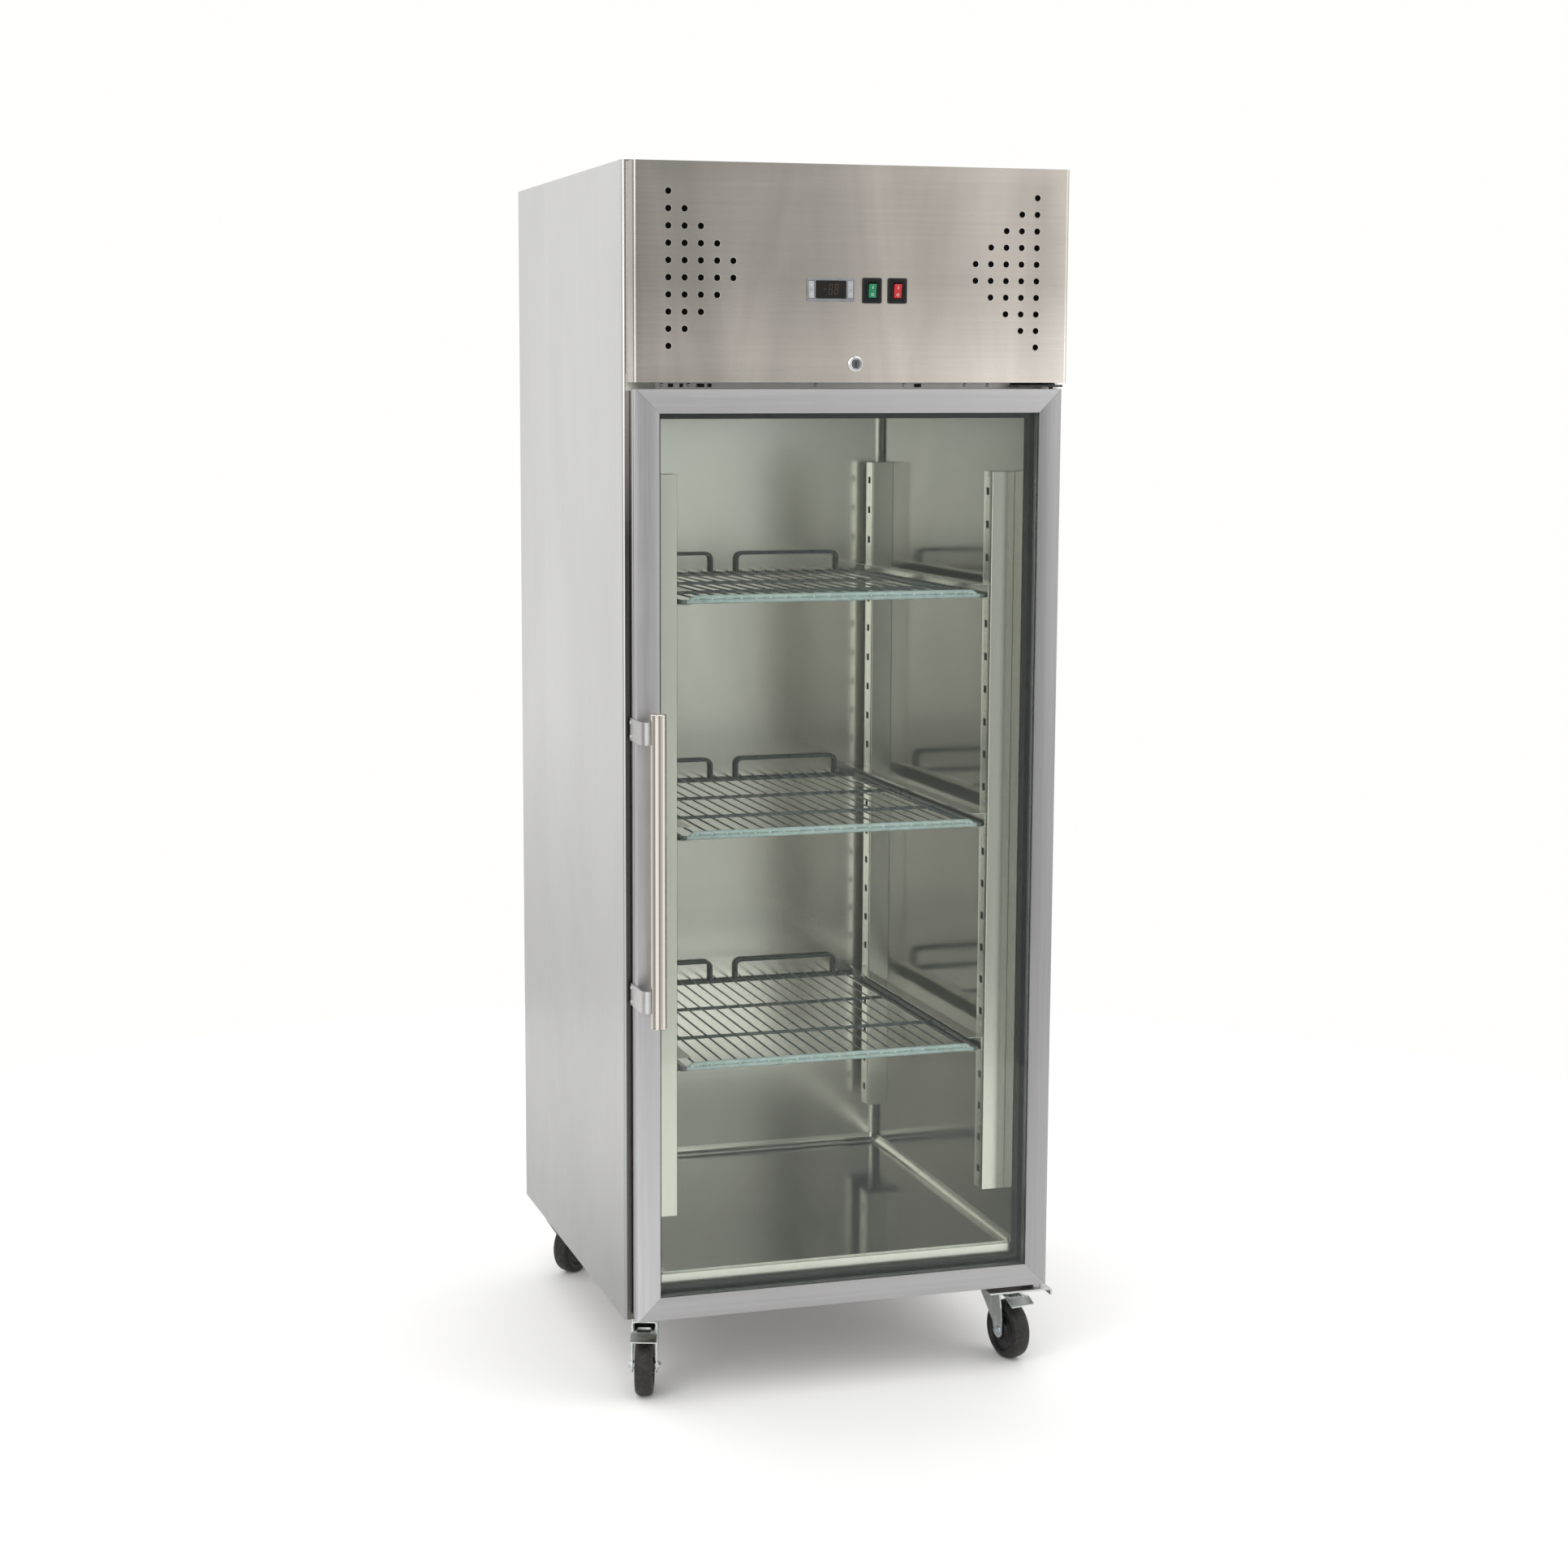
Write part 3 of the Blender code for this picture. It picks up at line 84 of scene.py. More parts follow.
class Finish:
    """A material's node tree, with short ways to add what the finishes here need."""

    def __init__(self, name, rough=0.4, metallic=0.0):
        self.mat = M[name] = bpy.data.materials.new(f"{name}_finish")
        self.mat.use_nodes = True
        self.tree = self.mat.node_tree
        self.shader = self.tree.nodes["Principled BSDF"]
        self.shader.inputs["Metallic"].default_value = metallic
        self.shader.inputs["Roughness"].default_value = rough
        self.place = self.add("ShaderNodeTexCoord").outputs["Object"]

    def add(self, kind, **settings):
        node = self.tree.nodes.new(kind)
        for key, value in settings.items():
            setattr(node, key, value)
        return node

    def feed(self, socket, value):
        if isinstance(value, bpy.types.NodeSocket):
            self.tree.links.new(value, socket)
        elif isinstance(value, tuple) and len(value) == 3 and socket.type == "RGBA":
            socket.default_value = (*value, 1)
        else:
            socket.default_value = value

    def noise(self, scale, detail=2.0, rough=0.5, distortion=0.0, place=None):
        """Noise between 0 and 1. The scale is per metre along X, Y and Z."""
        mapping = self.add("ShaderNodeMapping")
        self.feed(mapping.inputs["Vector"], place or self.place)
        mapping.inputs["Scale"].default_value = scale
        node = self.add("ShaderNodeTexNoise")
        self.feed(node.inputs["Vector"], mapping.outputs[0])
        node.inputs["Scale"].default_value = 1.0
        node.inputs["Detail"].default_value = detail
        node.inputs["Roughness"].default_value = rough
        node.inputs["Distortion"].default_value = distortion
        return node.outputs[0]

    def span(self, value, lo, hi, start=0.25, end=0.75):
        """Moves the part of a value between start and end to lo and hi."""
        node = self.add("ShaderNodeMapRange")
        for socket, number in zip(node.inputs, (value, start, end, lo, hi)):
            self.feed(socket, number)
        return node.outputs[0]

    def maths(self, operation, a, b=0.0, c=0.0):
        node = self.add("ShaderNodeMath", operation=operation)
        for socket, number in zip(node.inputs, (a, b, c)):
            self.feed(socket, number)
        return node.outputs[0]

    def blend(self, factor, a, b, kind="MIX"):
        node = self.add("ShaderNodeMix", data_type="RGBA", blend_type=kind)
        self.feed(node.inputs[0], factor)
        self.feed(node.inputs[6], a)
        self.feed(node.inputs[7], b)
        return node.outputs[2]

    def axis(self, index):
        node = self.add("ShaderNodeSeparateXYZ")
        self.feed(node.inputs[0], self.place)
        return node.outputs[index]

    def bump(self, height, distance, strength=1.0, under=None):
        node = self.add("ShaderNodeBump")
        node.inputs["Strength"].default_value = strength
        node.inputs["Distance"].default_value = distance
        self.feed(node.inputs["Height"], height)
        if under:
            self.feed(node.inputs["Normal"], under)
        return node.outputs[0]

    def colour(self, value):
        self.feed(self.shader.inputs["Base Color"], value)

    def rough(self, value):
        self.feed(self.shader.inputs["Roughness"], value)

    def normal(self, value):
        self.feed(self.shader.inputs["Normal"], value)

    def set(self, **sockets):
        for name, value in sockets.items():
            self.shader.inputs[name.replace("_", " ").title().replace("Ior", "IOR")].default_value = value
        return self


def scaled(colour, factor):
    return tuple(min(1.0, c * factor) for c in colour)


def metal(name, colour, rough, grain="x", cloud=0.07, clouds=(2.4, 2.4, 1.0), lines=0.05, wave=0.0, tint=None,
          micro=0.35, painted_light_ramps=(), wear=1.0):
    """Brushed or pressed sheet metal: fine lines along the grain, soft clouds, faint smears and slight waves.

    A painted-light ramp (axis, from, to, start, end) paints light and shade into the metal's colour along one
    of the object's own axes.
    """
    f = Finish(name, rough, 1.0)
    if grain == "none":
        scales = [(700,) * 3, (60,) * 3]
    else:
        scales = [[along if grain == axis else across for axis in "xyz"]
                  for along, across in ((7, 900), (1.2, 150))]
    fine, coarse = [f.noise(scale, 2) for scale in scales]
    cloudy = f.noise(clouds, 3, 0.55, 0.8)
    smear = f.noise((14, 14, 9), 4, 0.6, 1.5)
    body = f.blend(f.span(cloudy, 0, 1, 0.3, 0.7), scaled(colour, 1 - cloud),
                   scaled(tint or colour, 1 + cloud))
    grey = f.span(f.maths("ADD", fine, coarse), 1 - lines, 1 + lines, 0.7, 1.3)
    # Painted light and shade: each ramp scales the colour up or down along one of the object's own axes.
    for index, *span in painted_light_ramps:
        grey = f.maths("MULTIPLY", grey, f.span(f.axis(index), *span))
    f.colour(f.blend(1.0, body, grey, "MULTIPLY"))
    worn = f.maths("ADD", f.span(smear, -0.03 * wear, 0.05 * wear), f.span(fine, -0.04 * wear, 0.06 * wear))
    f.rough(f.maths("ADD", worn, rough))
    under = f.bump(f.noise((5, 5, 5), 1), 0.004, wave) if wave else None
    f.normal(f.bump(fine, 0.00004, micro, under))


def plastic(name, colour, rough=0.4, texture=900, depth=0.00003, dust=0.0, **sockets):
    """Moulded plastic or rubber: a fine surface texture, uneven gloss and a little dust."""
    f = Finish(name, rough).set(**sockets)
    mottle = f.noise((60, 60, 60), 3)
    grit = f.noise((texture,) * 3, 2)
    body = f.blend(f.span(mottle, 0, 1), scaled(colour, 0.85), scaled(colour, 1.15))
    if dust:
        specks = f.noise((140, 140, 140), 5, 0.7)
        body = f.blend(f.span(specks, 0, dust, 0.5, 0.75), body, (0.3, 0.28, 0.25))
    f.colour(body)
    f.rough(f.maths("ADD", f.span(mottle, -0.06, 0.08), rough))
    f.normal(f.bump(grit, depth, 0.6))


def pane_glass():
    """Flat float glass: it tints what is behind it a little and mirrors at a slant."""
    f = Finish("glass", 0.02, 1.0)
    f.colour((0.9, 0.97, 0.94))
    haze = f.noise((3, 3, 2), 4, 0.6, 1.0)
    f.rough(f.span(haze, 0.01, 0.05))
    tint = f.add("ShaderNodeBsdfTransparent")
    f.feed(tint.inputs[0], f.blend(f.span(haze, 0, 1), (0.962, 0.97, 0.958), (0.972, 0.978, 0.968)))
    mirror = f.add("ShaderNodeFresnel")
    mirror.inputs["IOR"].default_value = 1.4
    outer = f.maths("SUBTRACT", 1.0, f.add("ShaderNodeNewGeometry").outputs["Backfacing"])
    mix = f.add("ShaderNodeMixShader")
    f.feed(mix.inputs[0], f.maths("MULTIPLY", mirror.outputs[0], outer))
    f.feed(mix.inputs[1], tint.outputs[0])
    f.feed(mix.inputs[2], f.shader.outputs[0])
    f.feed(f.tree.nodes["Material Output"].inputs[0], mix.outputs[0])


def foam():
    """Cream polyurethane foam with small cells and a darker skin in places."""
    f = Finish("foam", 0.9)
    cells = f.add("ShaderNodeTexVoronoi")
    cells.inputs["Scale"].default_value = 420
    f.feed(cells.inputs["Vector"], f.place)
    skin = f.noise((9, 9, 9), 4)
    f.colour(f.blend(f.span(skin, 0, 1), (0.8, 0.68, 0.38), (0.62, 0.48, 0.22)))
    f.rough(f.span(skin, 0.8, 0.95))
    f.normal(f.bump(cells.outputs[0], 0.0006, 0.8))


def spacer():
    """Aluminium spacer bar with a row of small breathing holes."""
    f = Finish("spacer", 0.4, 1.0)
    pitch = 0.004
    rows = [f.maths("SINE", f.maths("MULTIPLY", f.axis(k), 2 * math.pi / pitch)) for k in (0, 2)]
    holes = f.maths("MULTIPLY", *[f.span(row, 0, 1, 0.2, 0.5) for row in rows])
    grain = f.noise((200, 200, 200), 2)
    plain = f.blend(f.span(grain, 0, 1), (0.42, 0.43, 0.44), (0.56, 0.57, 0.58))
    f.colour(f.blend(holes, plain, (0.03, 0.03, 0.03)))
    f.rough(f.span(grain, 0.35, 0.5))
    f.normal(f.bump(holes, -0.0004, 0.5))


# Metals: name, colour, roughness, grain, then how deep and how wide the clouds are and how deep the lines
# Plastics: name, colour, roughness, grains of texture per metre
# side: its ramp paints shade into the colour, darker towards the bottom of the panel.
metal("side", (0.68, 0.68, 0.67), 0.34, "z", 0.04, (1.0, 1.4, 0.9), 0.02, wave=0.06, tint=(0.72, 0.72, 0.71),
      micro=0.2, painted_light_ramps=[(2, 0.46, 1.06, 0.2, 1.1)], wear=0.5)
metal("body", (0.56, 0.55, 0.54), 0.34, "x", 0.06, lines=0.04)
# fascia: its ramps paint shade towards the left end and light towards the bottom edge, and its deep colour
# clouds are painted reflections.
metal("fascia", (0.6, 0.56, 0.51), 0.24, "x", 0.14, (7.0, 7.0, 1.4), 0.025, wave=0.26, micro=0.12,
      painted_light_ramps=[(0, 0.78, 1.06, -0.37, 0.25), (2, 1.35, 1.0, 1.7, 1.82)], wear=0.5)
# frame_v: its ramp paints light on the left stile and shade on the right stile.
metal("frame_v", (0.41, 0.405, 0.415), 0.36, "z", 0.05, (6, 6, 1.2), 0.06, micro=0.2,
      painted_light_ramps=[(0, 1.33, 0.92, -0.34, 0.33)], wear=0.6)
# frame_h: its ramp paints light on the top rail, lighter towards the top.
metal("frame_h", (0.42, 0.415, 0.42), 0.36, "x", 0.05, (1.2, 6, 6), 0.05, micro=0.2,
      painted_light_ramps=[(2, 1.0, 1.4, 0.4, 1.5)], wear=0.6)
metal("handle", (0.68, 0.63, 0.57), 0.09, "none", 0.03, (20, 20, 0.8), 0.02, micro=0.08, wear=0.3)
metal("strap", (0.56, 0.56, 0.56), 0.3, "x", 0.05, lines=0.05)
# liner: its ramp paints light, lighter towards the top of the room.
metal("liner", (0.9, 0.88, 0.83), 0.19, "z", 0.09, (3.0, 3.0, 1.3), 0.01, wave=0.03, micro=0.0,
      painted_light_ramps=[(2, 0.9, 1.2, 1.0, 1.6)], wear=0.2)
# liner_side_painted_shade: a much darker copy of the liner for the side walls, painted shade, with the same
# painted light towards the top.
metal("liner_side_painted_shade", (0.24, 0.233, 0.212), 0.12, "z", 0.08, (3.0, 3.0, 1.3), 0.01, wave=0.03, micro=0.0,
      painted_light_ramps=[(2, 0.9, 1.2, 1.0, 1.6)], wear=0.2)
metal("corner", (0.9, 0.88, 0.82), 0.32, "z", 0.05, (3.0, 3.0, 1.3), 0.01, micro=0.0, wear=0.2)
metal("floor_liner", (0.34, 0.335, 0.32), 0.09, "y", 0.05, (5.0, 3.0, 3.0), 0.01, wave=0.02, micro=0.03,
      wear=0.3)
metal("pilaster", (0.77, 0.765, 0.71), 0.22, "z", 0.05, (8, 8, 1.0), 0.01, micro=0.0, wear=0.2)
metal("runner", (0.62, 0.62, 0.58), 0.22, "y", 0.05, lines=0.01, micro=0.03, wear=0.2)
metal("chrome", (0.66, 0.66, 0.67), 0.09, "none", 0.03, (60, 60, 60), 0.01)
# return: a dark copy of the side steel for the side skins' front-facing return strips, painted shade of the gap
# beside the door; its ramp paints light, much lighter towards the top.
metal("return", (0.115, 0.108, 0.1), 0.26, "z", 0.05, (9, 9, 2), 0.04, micro=0.2,
      painted_light_ramps=[(2, 1.0, 4.6, 1.42, 1.66)])
metal("lock_face", (0.2, 0.2, 0.21), 0.16, "none", 0.05, (90, 90, 90), 0.03)
metal("zinc", (0.66, 0.72, 0.74), 0.22, "none", 0.12, (45, 45, 45), 0.04, wave=0.2, tint=(0.74, 0.76, 0.7))
metal("bolt", (0.6, 0.64, 0.67), 0.22, "none", 0.12, (160, 160, 160), 0.05)
metal("aluminium", (0.66, 0.67, 0.68), 0.36, "z", 0.06, (9, 9, 9), 0.06)
metal("copper", (0.72, 0.36, 0.2), 0.24, "none", 0.16, (40, 40, 40), 0.04, tint=(0.62, 0.3, 0.2))
metal("galvanised", (0.52, 0.54, 0.56), 0.38, "none", 0.16, (30, 30, 30), 0.04)
plastic("black_metal", (0.016, 0.016, 0.018), 0.36, 500, depth=0.00005, dust=0.1, coat_weight=0.3)
plastic("coated", (0.135, 0.165, 0.17), 0.3, 260, depth=0.00004, coat_weight=0.35)
# coated_front_painted_light: a lighter copy of coated for the shelves' front rims, painted light.
plastic("coated_front_painted_light", (0.47, 0.59, 0.6), 0.28, 260, depth=0.00004, coat_weight=0.35)
# tips: a pale finish for the wires' ends, painted highlights.
plastic("tips", (0.66, 0.72, 0.72), 0.28, 260)
plastic("seal", (0.014, 0.015, 0.017), 0.56, 700, depth=0.00004, dust=0.03, specular_ior_level=0.25)
plastic("black_plastic", (0.011, 0.011, 0.012), 0.3, 1100, depth=0.00003, dust=0.02, specular_ior_level=0.25)
plastic("grey_plastic", (0.225, 0.235, 0.25), 0.36, 1100, specular_ior_level=0.35)
plastic("key", (0.38, 0.39, 0.405), 0.38, 1000)
plastic("screen", (0.014, 0.011, 0.009), 0.12, 200, depth=0.00001, specular_ior_level=0.25)
plastic("segments", (0.085, 0.066, 0.05), 0.3, 200)
plastic("mark", (0.74, 0.75, 0.76), 0.45, 400)
plastic("green", (0.0, 0.22, 0.095), 0.16, 300, depth=0.00001, coat_weight=0.5)
plastic("red", (0.5, 0.012, 0.014), 0.16, 300, depth=0.00001, coat_weight=0.5)
plastic("wheel", (0.012, 0.012, 0.013), 0.34, 420, depth=0.0001, dust=0.03, specular_ior_level=0.3)
plastic("tread", (0.02, 0.019, 0.018), 0.5, 300, depth=0.0002, dust=0.12, specular_ior_level=0.3)
plastic("filter", (0.01, 0.01, 0.01), 0.85, 300, depth=0.0004)
plastic("insulation", (0.02, 0.02, 0.022), 0.75, 350, depth=0.0003, dust=0.15)
plastic("breaker", (0.62, 0.63, 0.57), 0.34, 500)
pane_glass()
foam()
spacer()


# ---------------------------------------------------------------- shapes


def fillet(points, radius, steps=5, closed=False):
    """Rounds the corners of a path. The radius is one number, or one for each point."""
    pts = [Vector(p) for p in points]
    count = len(pts)
    radii = radius if isinstance(radius, (list, tuple)) else [radius] * count
    out = []
    for i, p in enumerate(pts):
        if not closed and i in (0, count - 1) or radii[i] <= 0:
            out.append(p)
            continue
        before, after = pts[i - 1] - p, pts[(i + 1) % count] - p
        u, v = before.normalized(), after.normalized()
        half = u.angle(v, math.pi) / 2
        if half > math.pi / 2 - 0.01:
            out.append(p)
            continue
        cut = min(radii[i] / math.tan(half), 0.49 * before.length, 0.49 * after.length)
        r = cut * math.tan(half)
        center = p + (u + v).normalized() * (r / math.sin(half))
        a, b = p + u * cut - center, p + v * cut - center
        turn = a.angle(b)
        for k in range(steps + 1):
            t = k / steps
            w = (a * math.sin((1 - t) * turn) + b * math.sin(t * turn)) / math.sin(turn)
            out.append(center + w)
    return out


def arc(center, radius, start, end, steps):
    """Points on an arc, between two angles in degrees."""
    turns = [math.radians(start + (end - start) * i / steps) for i in range(steps + 1)]
    return [(center[0] + radius * math.cos(t), center[1] + radius * math.sin(t)) for t in turns]


def circle(center, radius, sides=24, turn=0.0):
    return arc(center, radius, turn, turn + 360, sides)[:-1]


def rectangle(center, size, radius=0.0, steps=5):
    """A rectangle's corners, rounded if it has a radius."""
    x, z, w, h = *center, size[0] / 2, size[1] / 2
    corners = [(x - w, z - h), (x + w, z - h), (x + w, z + h), (x - w, z + h)]
    return fillet(corners, radius, steps, True) if radius else corners


def sheet_section(path, thick, radius, steps=5):
    """The closed outline of a folded sheet whose middle runs along an open path."""
    middle = fillet(path, radius, steps)
    left, right = [], []
    for i, p in enumerate(middle):
        ahead = middle[min(i + 1, len(middle) - 1)] - middle[max(i - 1, 0)]
        side = Vector((-ahead.y, ahead.x)).normalized() * thick / 2
        left.append(p + side)
        right.append(p - side)
    return left + right[::-1]


# The two directions across an axis, then the axis itself
AXES = {"X": (1, 2, 0), "Y": (0, 2, 1), "Z": (0, 1, 2)}


def place(u, v, w, axis):
    """A point from two coordinates across an axis and one along it."""
    return {"X": (w, u, v), "Y": (u, w, v), "Z": (u, v, w)}[axis]


def spokes(count, first=0.0):
    """The cosine and sine of evenly spaced turns. The first is in degrees."""
    turns = [math.radians(first + 360 * k / count) for k in range(count)]
    return [(math.cos(t), math.sin(t)) for t in turns]


def mm(*points):
    """Points given in millimetres."""
    return [tuple(value / 1000 for value in point) for point in points]


def made(shape, *args, **options):
    """A new bmesh with one shape in it."""
    bm = bmesh.new()
    shape(bm, *args, **options)
    return bm


def loft(bm, rings, closed=True, caps=True, loop=False):
    """Joins rings of points with faces. A closed ring meets itself; a loop's last ring meets its first."""
    made = [[bm.verts.new(p) for p in ring] for ring in rings]
    pairs = list(zip(made, made[1:])) + ([(made[-1], made[0])] if loop else [])
    for here, there in pairs:
        count = len(here)
        for i in range(count if closed else count - 1):
            j = (i + 1) % count
            bm.faces.new((here[i], here[j], there[j], there[i]))
    if caps and not loop:
        bm.faces.new(made[0][::-1])
        bm.faces.new(made[-1])
    return made


def prism(bm, outline, lo, hi, axis="Z"):
    """An outline pushed along an axis from lo to hi."""
    loft(bm, [[place(p[0], p[1], w, axis) for p in outline] for w in (lo, hi)])


def block(bm, x, y, z):
    """A box from three (low, high) pairs."""
    prism(bm, [(x[0], y[0]), (x[1], y[0]), (x[1], y[1]), (x[0], y[1])], *z)


def lathe(bm, profile, center=(0, 0, 0), axis="Z", sides=32, closed=False):
    """Turns a profile of (radius, distance along the axis) points. A closed profile makes a ring."""
    center = Vector(center)
    rings = []
    for i in range(sides):
        a = 2 * math.pi * i / sides
        rings.append([center + Vector(place(r * math.cos(a), r * math.sin(a), h, axis)) for r, h in profile])
    made = loft(bm, rings, closed, False, True)
    ends = () if closed else (0, -1)
    for k in ends:
        ring = [r[k] for r in made]
        if profile[k][0] < 1e-6:
            bmesh.ops.pointmerge(bm, verts=ring, merge_co=ring[0].co.copy())
        else:
            bm.faces.new(ring)


def tube(bm, path, radius, sides=10, bend=0.0, loop=False, caps=True, steps=5):
    """A round tube along a path whose corners are bent to a radius. The tube's radius may be a list."""
    pts = [Vector(p) for p in path]
    if bend:
        pts = fillet(pts, bend, steps, loop)
    count = len(pts)
    radii = radius if isinstance(radius, (list, tuple)) else [radius] * count
    side = None
    rings = []
    for i, p in enumerate(pts):
        if loop:
            ahead = pts[(i + 1) % count] - pts[i - 1]
        else:
            ahead = pts[min(i + 1, count - 1)] - pts[max(i - 1, 0)]
        ahead.normalize()
        if side is None:
            side = ahead.orthogonal().normalized()
        side = (side - ahead * side.dot(ahead)).normalized()
        up = ahead.cross(side)
        turns = [2 * math.pi * k / sides for k in range(sides)]
        rings.append([p + (side * math.cos(t) + up * math.sin(t)) * radii[i] for t in turns])
    loft(bm, rings, True, caps, loop)


def slab(bm, centre, size, radius, steps, base, layers, give=1.0):
    """A rounded slab that faces -Y. Each layer is (how much it grows all round, y from the base)."""
    rings = []
    for grow, y in layers:
        outline = rectangle(centre, [side + 2 * grow for side in size], radius + grow * give, steps)
        rings.append([(p[0], base + y, p[1]) for p in outline])
    loft(bm, rings)


def rod(bm, start, end, radius, sides=10, round_end=0.4):
    """A straight wire with slightly rounded ends."""
    a, b = Vector(start), Vector(end)
    d = (b - a).normalized() * radius * round_end
    tube(bm, [a, a + d, b - d, b], [radius * 0.72, radius, radius, radius * 0.72], sides)


def wire_ring(bm, centre, radius, wire, axis, sides):
    """A ring of wire round an axis."""
    u, v, w = AXES[axis]
    line = circle((centre[u], centre[v]), radius, sides)
    tube(bm, [place(a, b, centre[w], axis) for a, b in line], wire, 8, loop=True)


def hex_head(bm, center, axis, size, height, sign=1):
    """A hexagon bolt head or nut, chamfered on its outer face, with a washer under it."""
    u, v, w = AXES[axis]
    at = (center[u], center[v])
    base = center[w]
    prism(bm, circle(at, size * 1.25, 20), base, base + sign * size * 0.22, axis)
    shaft = base + sign * size * 0.22
    layers = ((size, shaft), (size, shaft + sign * height * 0.8), (size * 0.84, shaft + sign * height))
    loft(bm, [[place(p[0], p[1], h, axis) for p in circle(at, r, 6, 15)] for r, h in layers])


def screw_head(bm, center, axis, radius, sign=1):
    """A pan head with a cross recess."""
    u, v, w = AXES[axis]
    x, z, base = center[u], center[v], center[w]
    wide, deep = radius * 0.52, radius * 0.16
    cross = [
        (wide, deep), (deep, deep), (deep, wide), (-deep, wide), (-deep, deep), (-wide, deep),
        (-wide, -deep), (-deep, -deep), (-deep, -wide), (deep, -wide), (deep, -deep), (wide, -deep),
    ]
    rim = [(radius * 0.8 * a / math.hypot(a, b), radius * 0.8 * b / math.hypot(a, b)) for a, b in cross]
    rings = []
    layers = ((rim, 1.25, 0), (rim, 1.22, 0.28), (rim, 0.95, 0.5), (cross, 1, 0.56), (cross, 0.7, 0.15))
    for pts, scale, height in layers:
        rings.append([place(x + a * scale, z + b * scale, base + sign * height * radius, axis) for a,
                      b in pts])
    loft(bm, rings)


def new_object(name, bm):
    """An object in the scene from a bmesh, which is used up."""
    mesh = bpy.data.meshes.new(name)
    bm.to_mesh(mesh)
    bm.free()
    obj = bpy.data.objects.new(name, mesh)
    bpy.context.collection.objects.link(obj)
    return obj


def piece(name, bm, finish, body="cabinet", replaces=(), bevel=0.0, segments=2, turn=None, limit=35):
    """Makes a piece of the object from a bmesh: its finish, its soft edges and the body that it rides on.

    The bevel is in metres, and it softens the edges that are sharper than the limit in degrees.
    """
    if turn is not None:
        bmesh.ops.transform(bm, matrix=turn, verts=bm.verts)
    bmesh.ops.recalc_face_normals(bm, faces=bm.faces)
    obj = new_object(name, bm)
    obj.data.materials.append(M[finish])
    obj.data.shade_smooth()
    if bevel:
        mod = obj.modifiers.new("soft_edges", "BEVEL")
        mod.width = bevel
        mod.segments = segments
        mod.limit_method = "ANGLE"
        mod.angle_limit = math.radians(limit)
        mod.harden_normals = True
    else:
        obj.data.set_sharp_from_angle(angle=math.radians(limit))
    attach(obj, body)
    if replaces:
        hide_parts(*replaces)
    return obj


def carve(bm, *tools, operation="DIFFERENCE"):
    """A bmesh with others cut out of it one by one, or joined to it, by exact booleans."""
    for tool in tools:
        pair = []
        for shape in (bm, tool):
            bmesh.ops.recalc_face_normals(shape, faces=shape.faces)
            pair.append(new_object("carving", shape))
        mod = pair[0].modifiers.new("cut", "BOOLEAN")
        mod.operation, mod.solver, mod.use_self, mod.object = operation, "EXACT", True, pair[1]
        result = bpy.data.meshes.new_from_object(pair[0].evaluated_get(bpy.context.evaluated_depsgraph_get()))
        for old in pair:
            bpy.data.objects.remove(old)
        bm = bmesh.new()
        bm.from_mesh(result)
    return bm


# ---------------------------------------------------------------- cabinet


def keep(finish, *names):
    """Gives CAD nodes whose shape is already right a better finish."""
    for name in names:
        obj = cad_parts[name]
        if not obj.material_slots:
            obj.data.materials.append(M[finish])
        for holder in obj.material_slots:
            holder.material = M[finish]


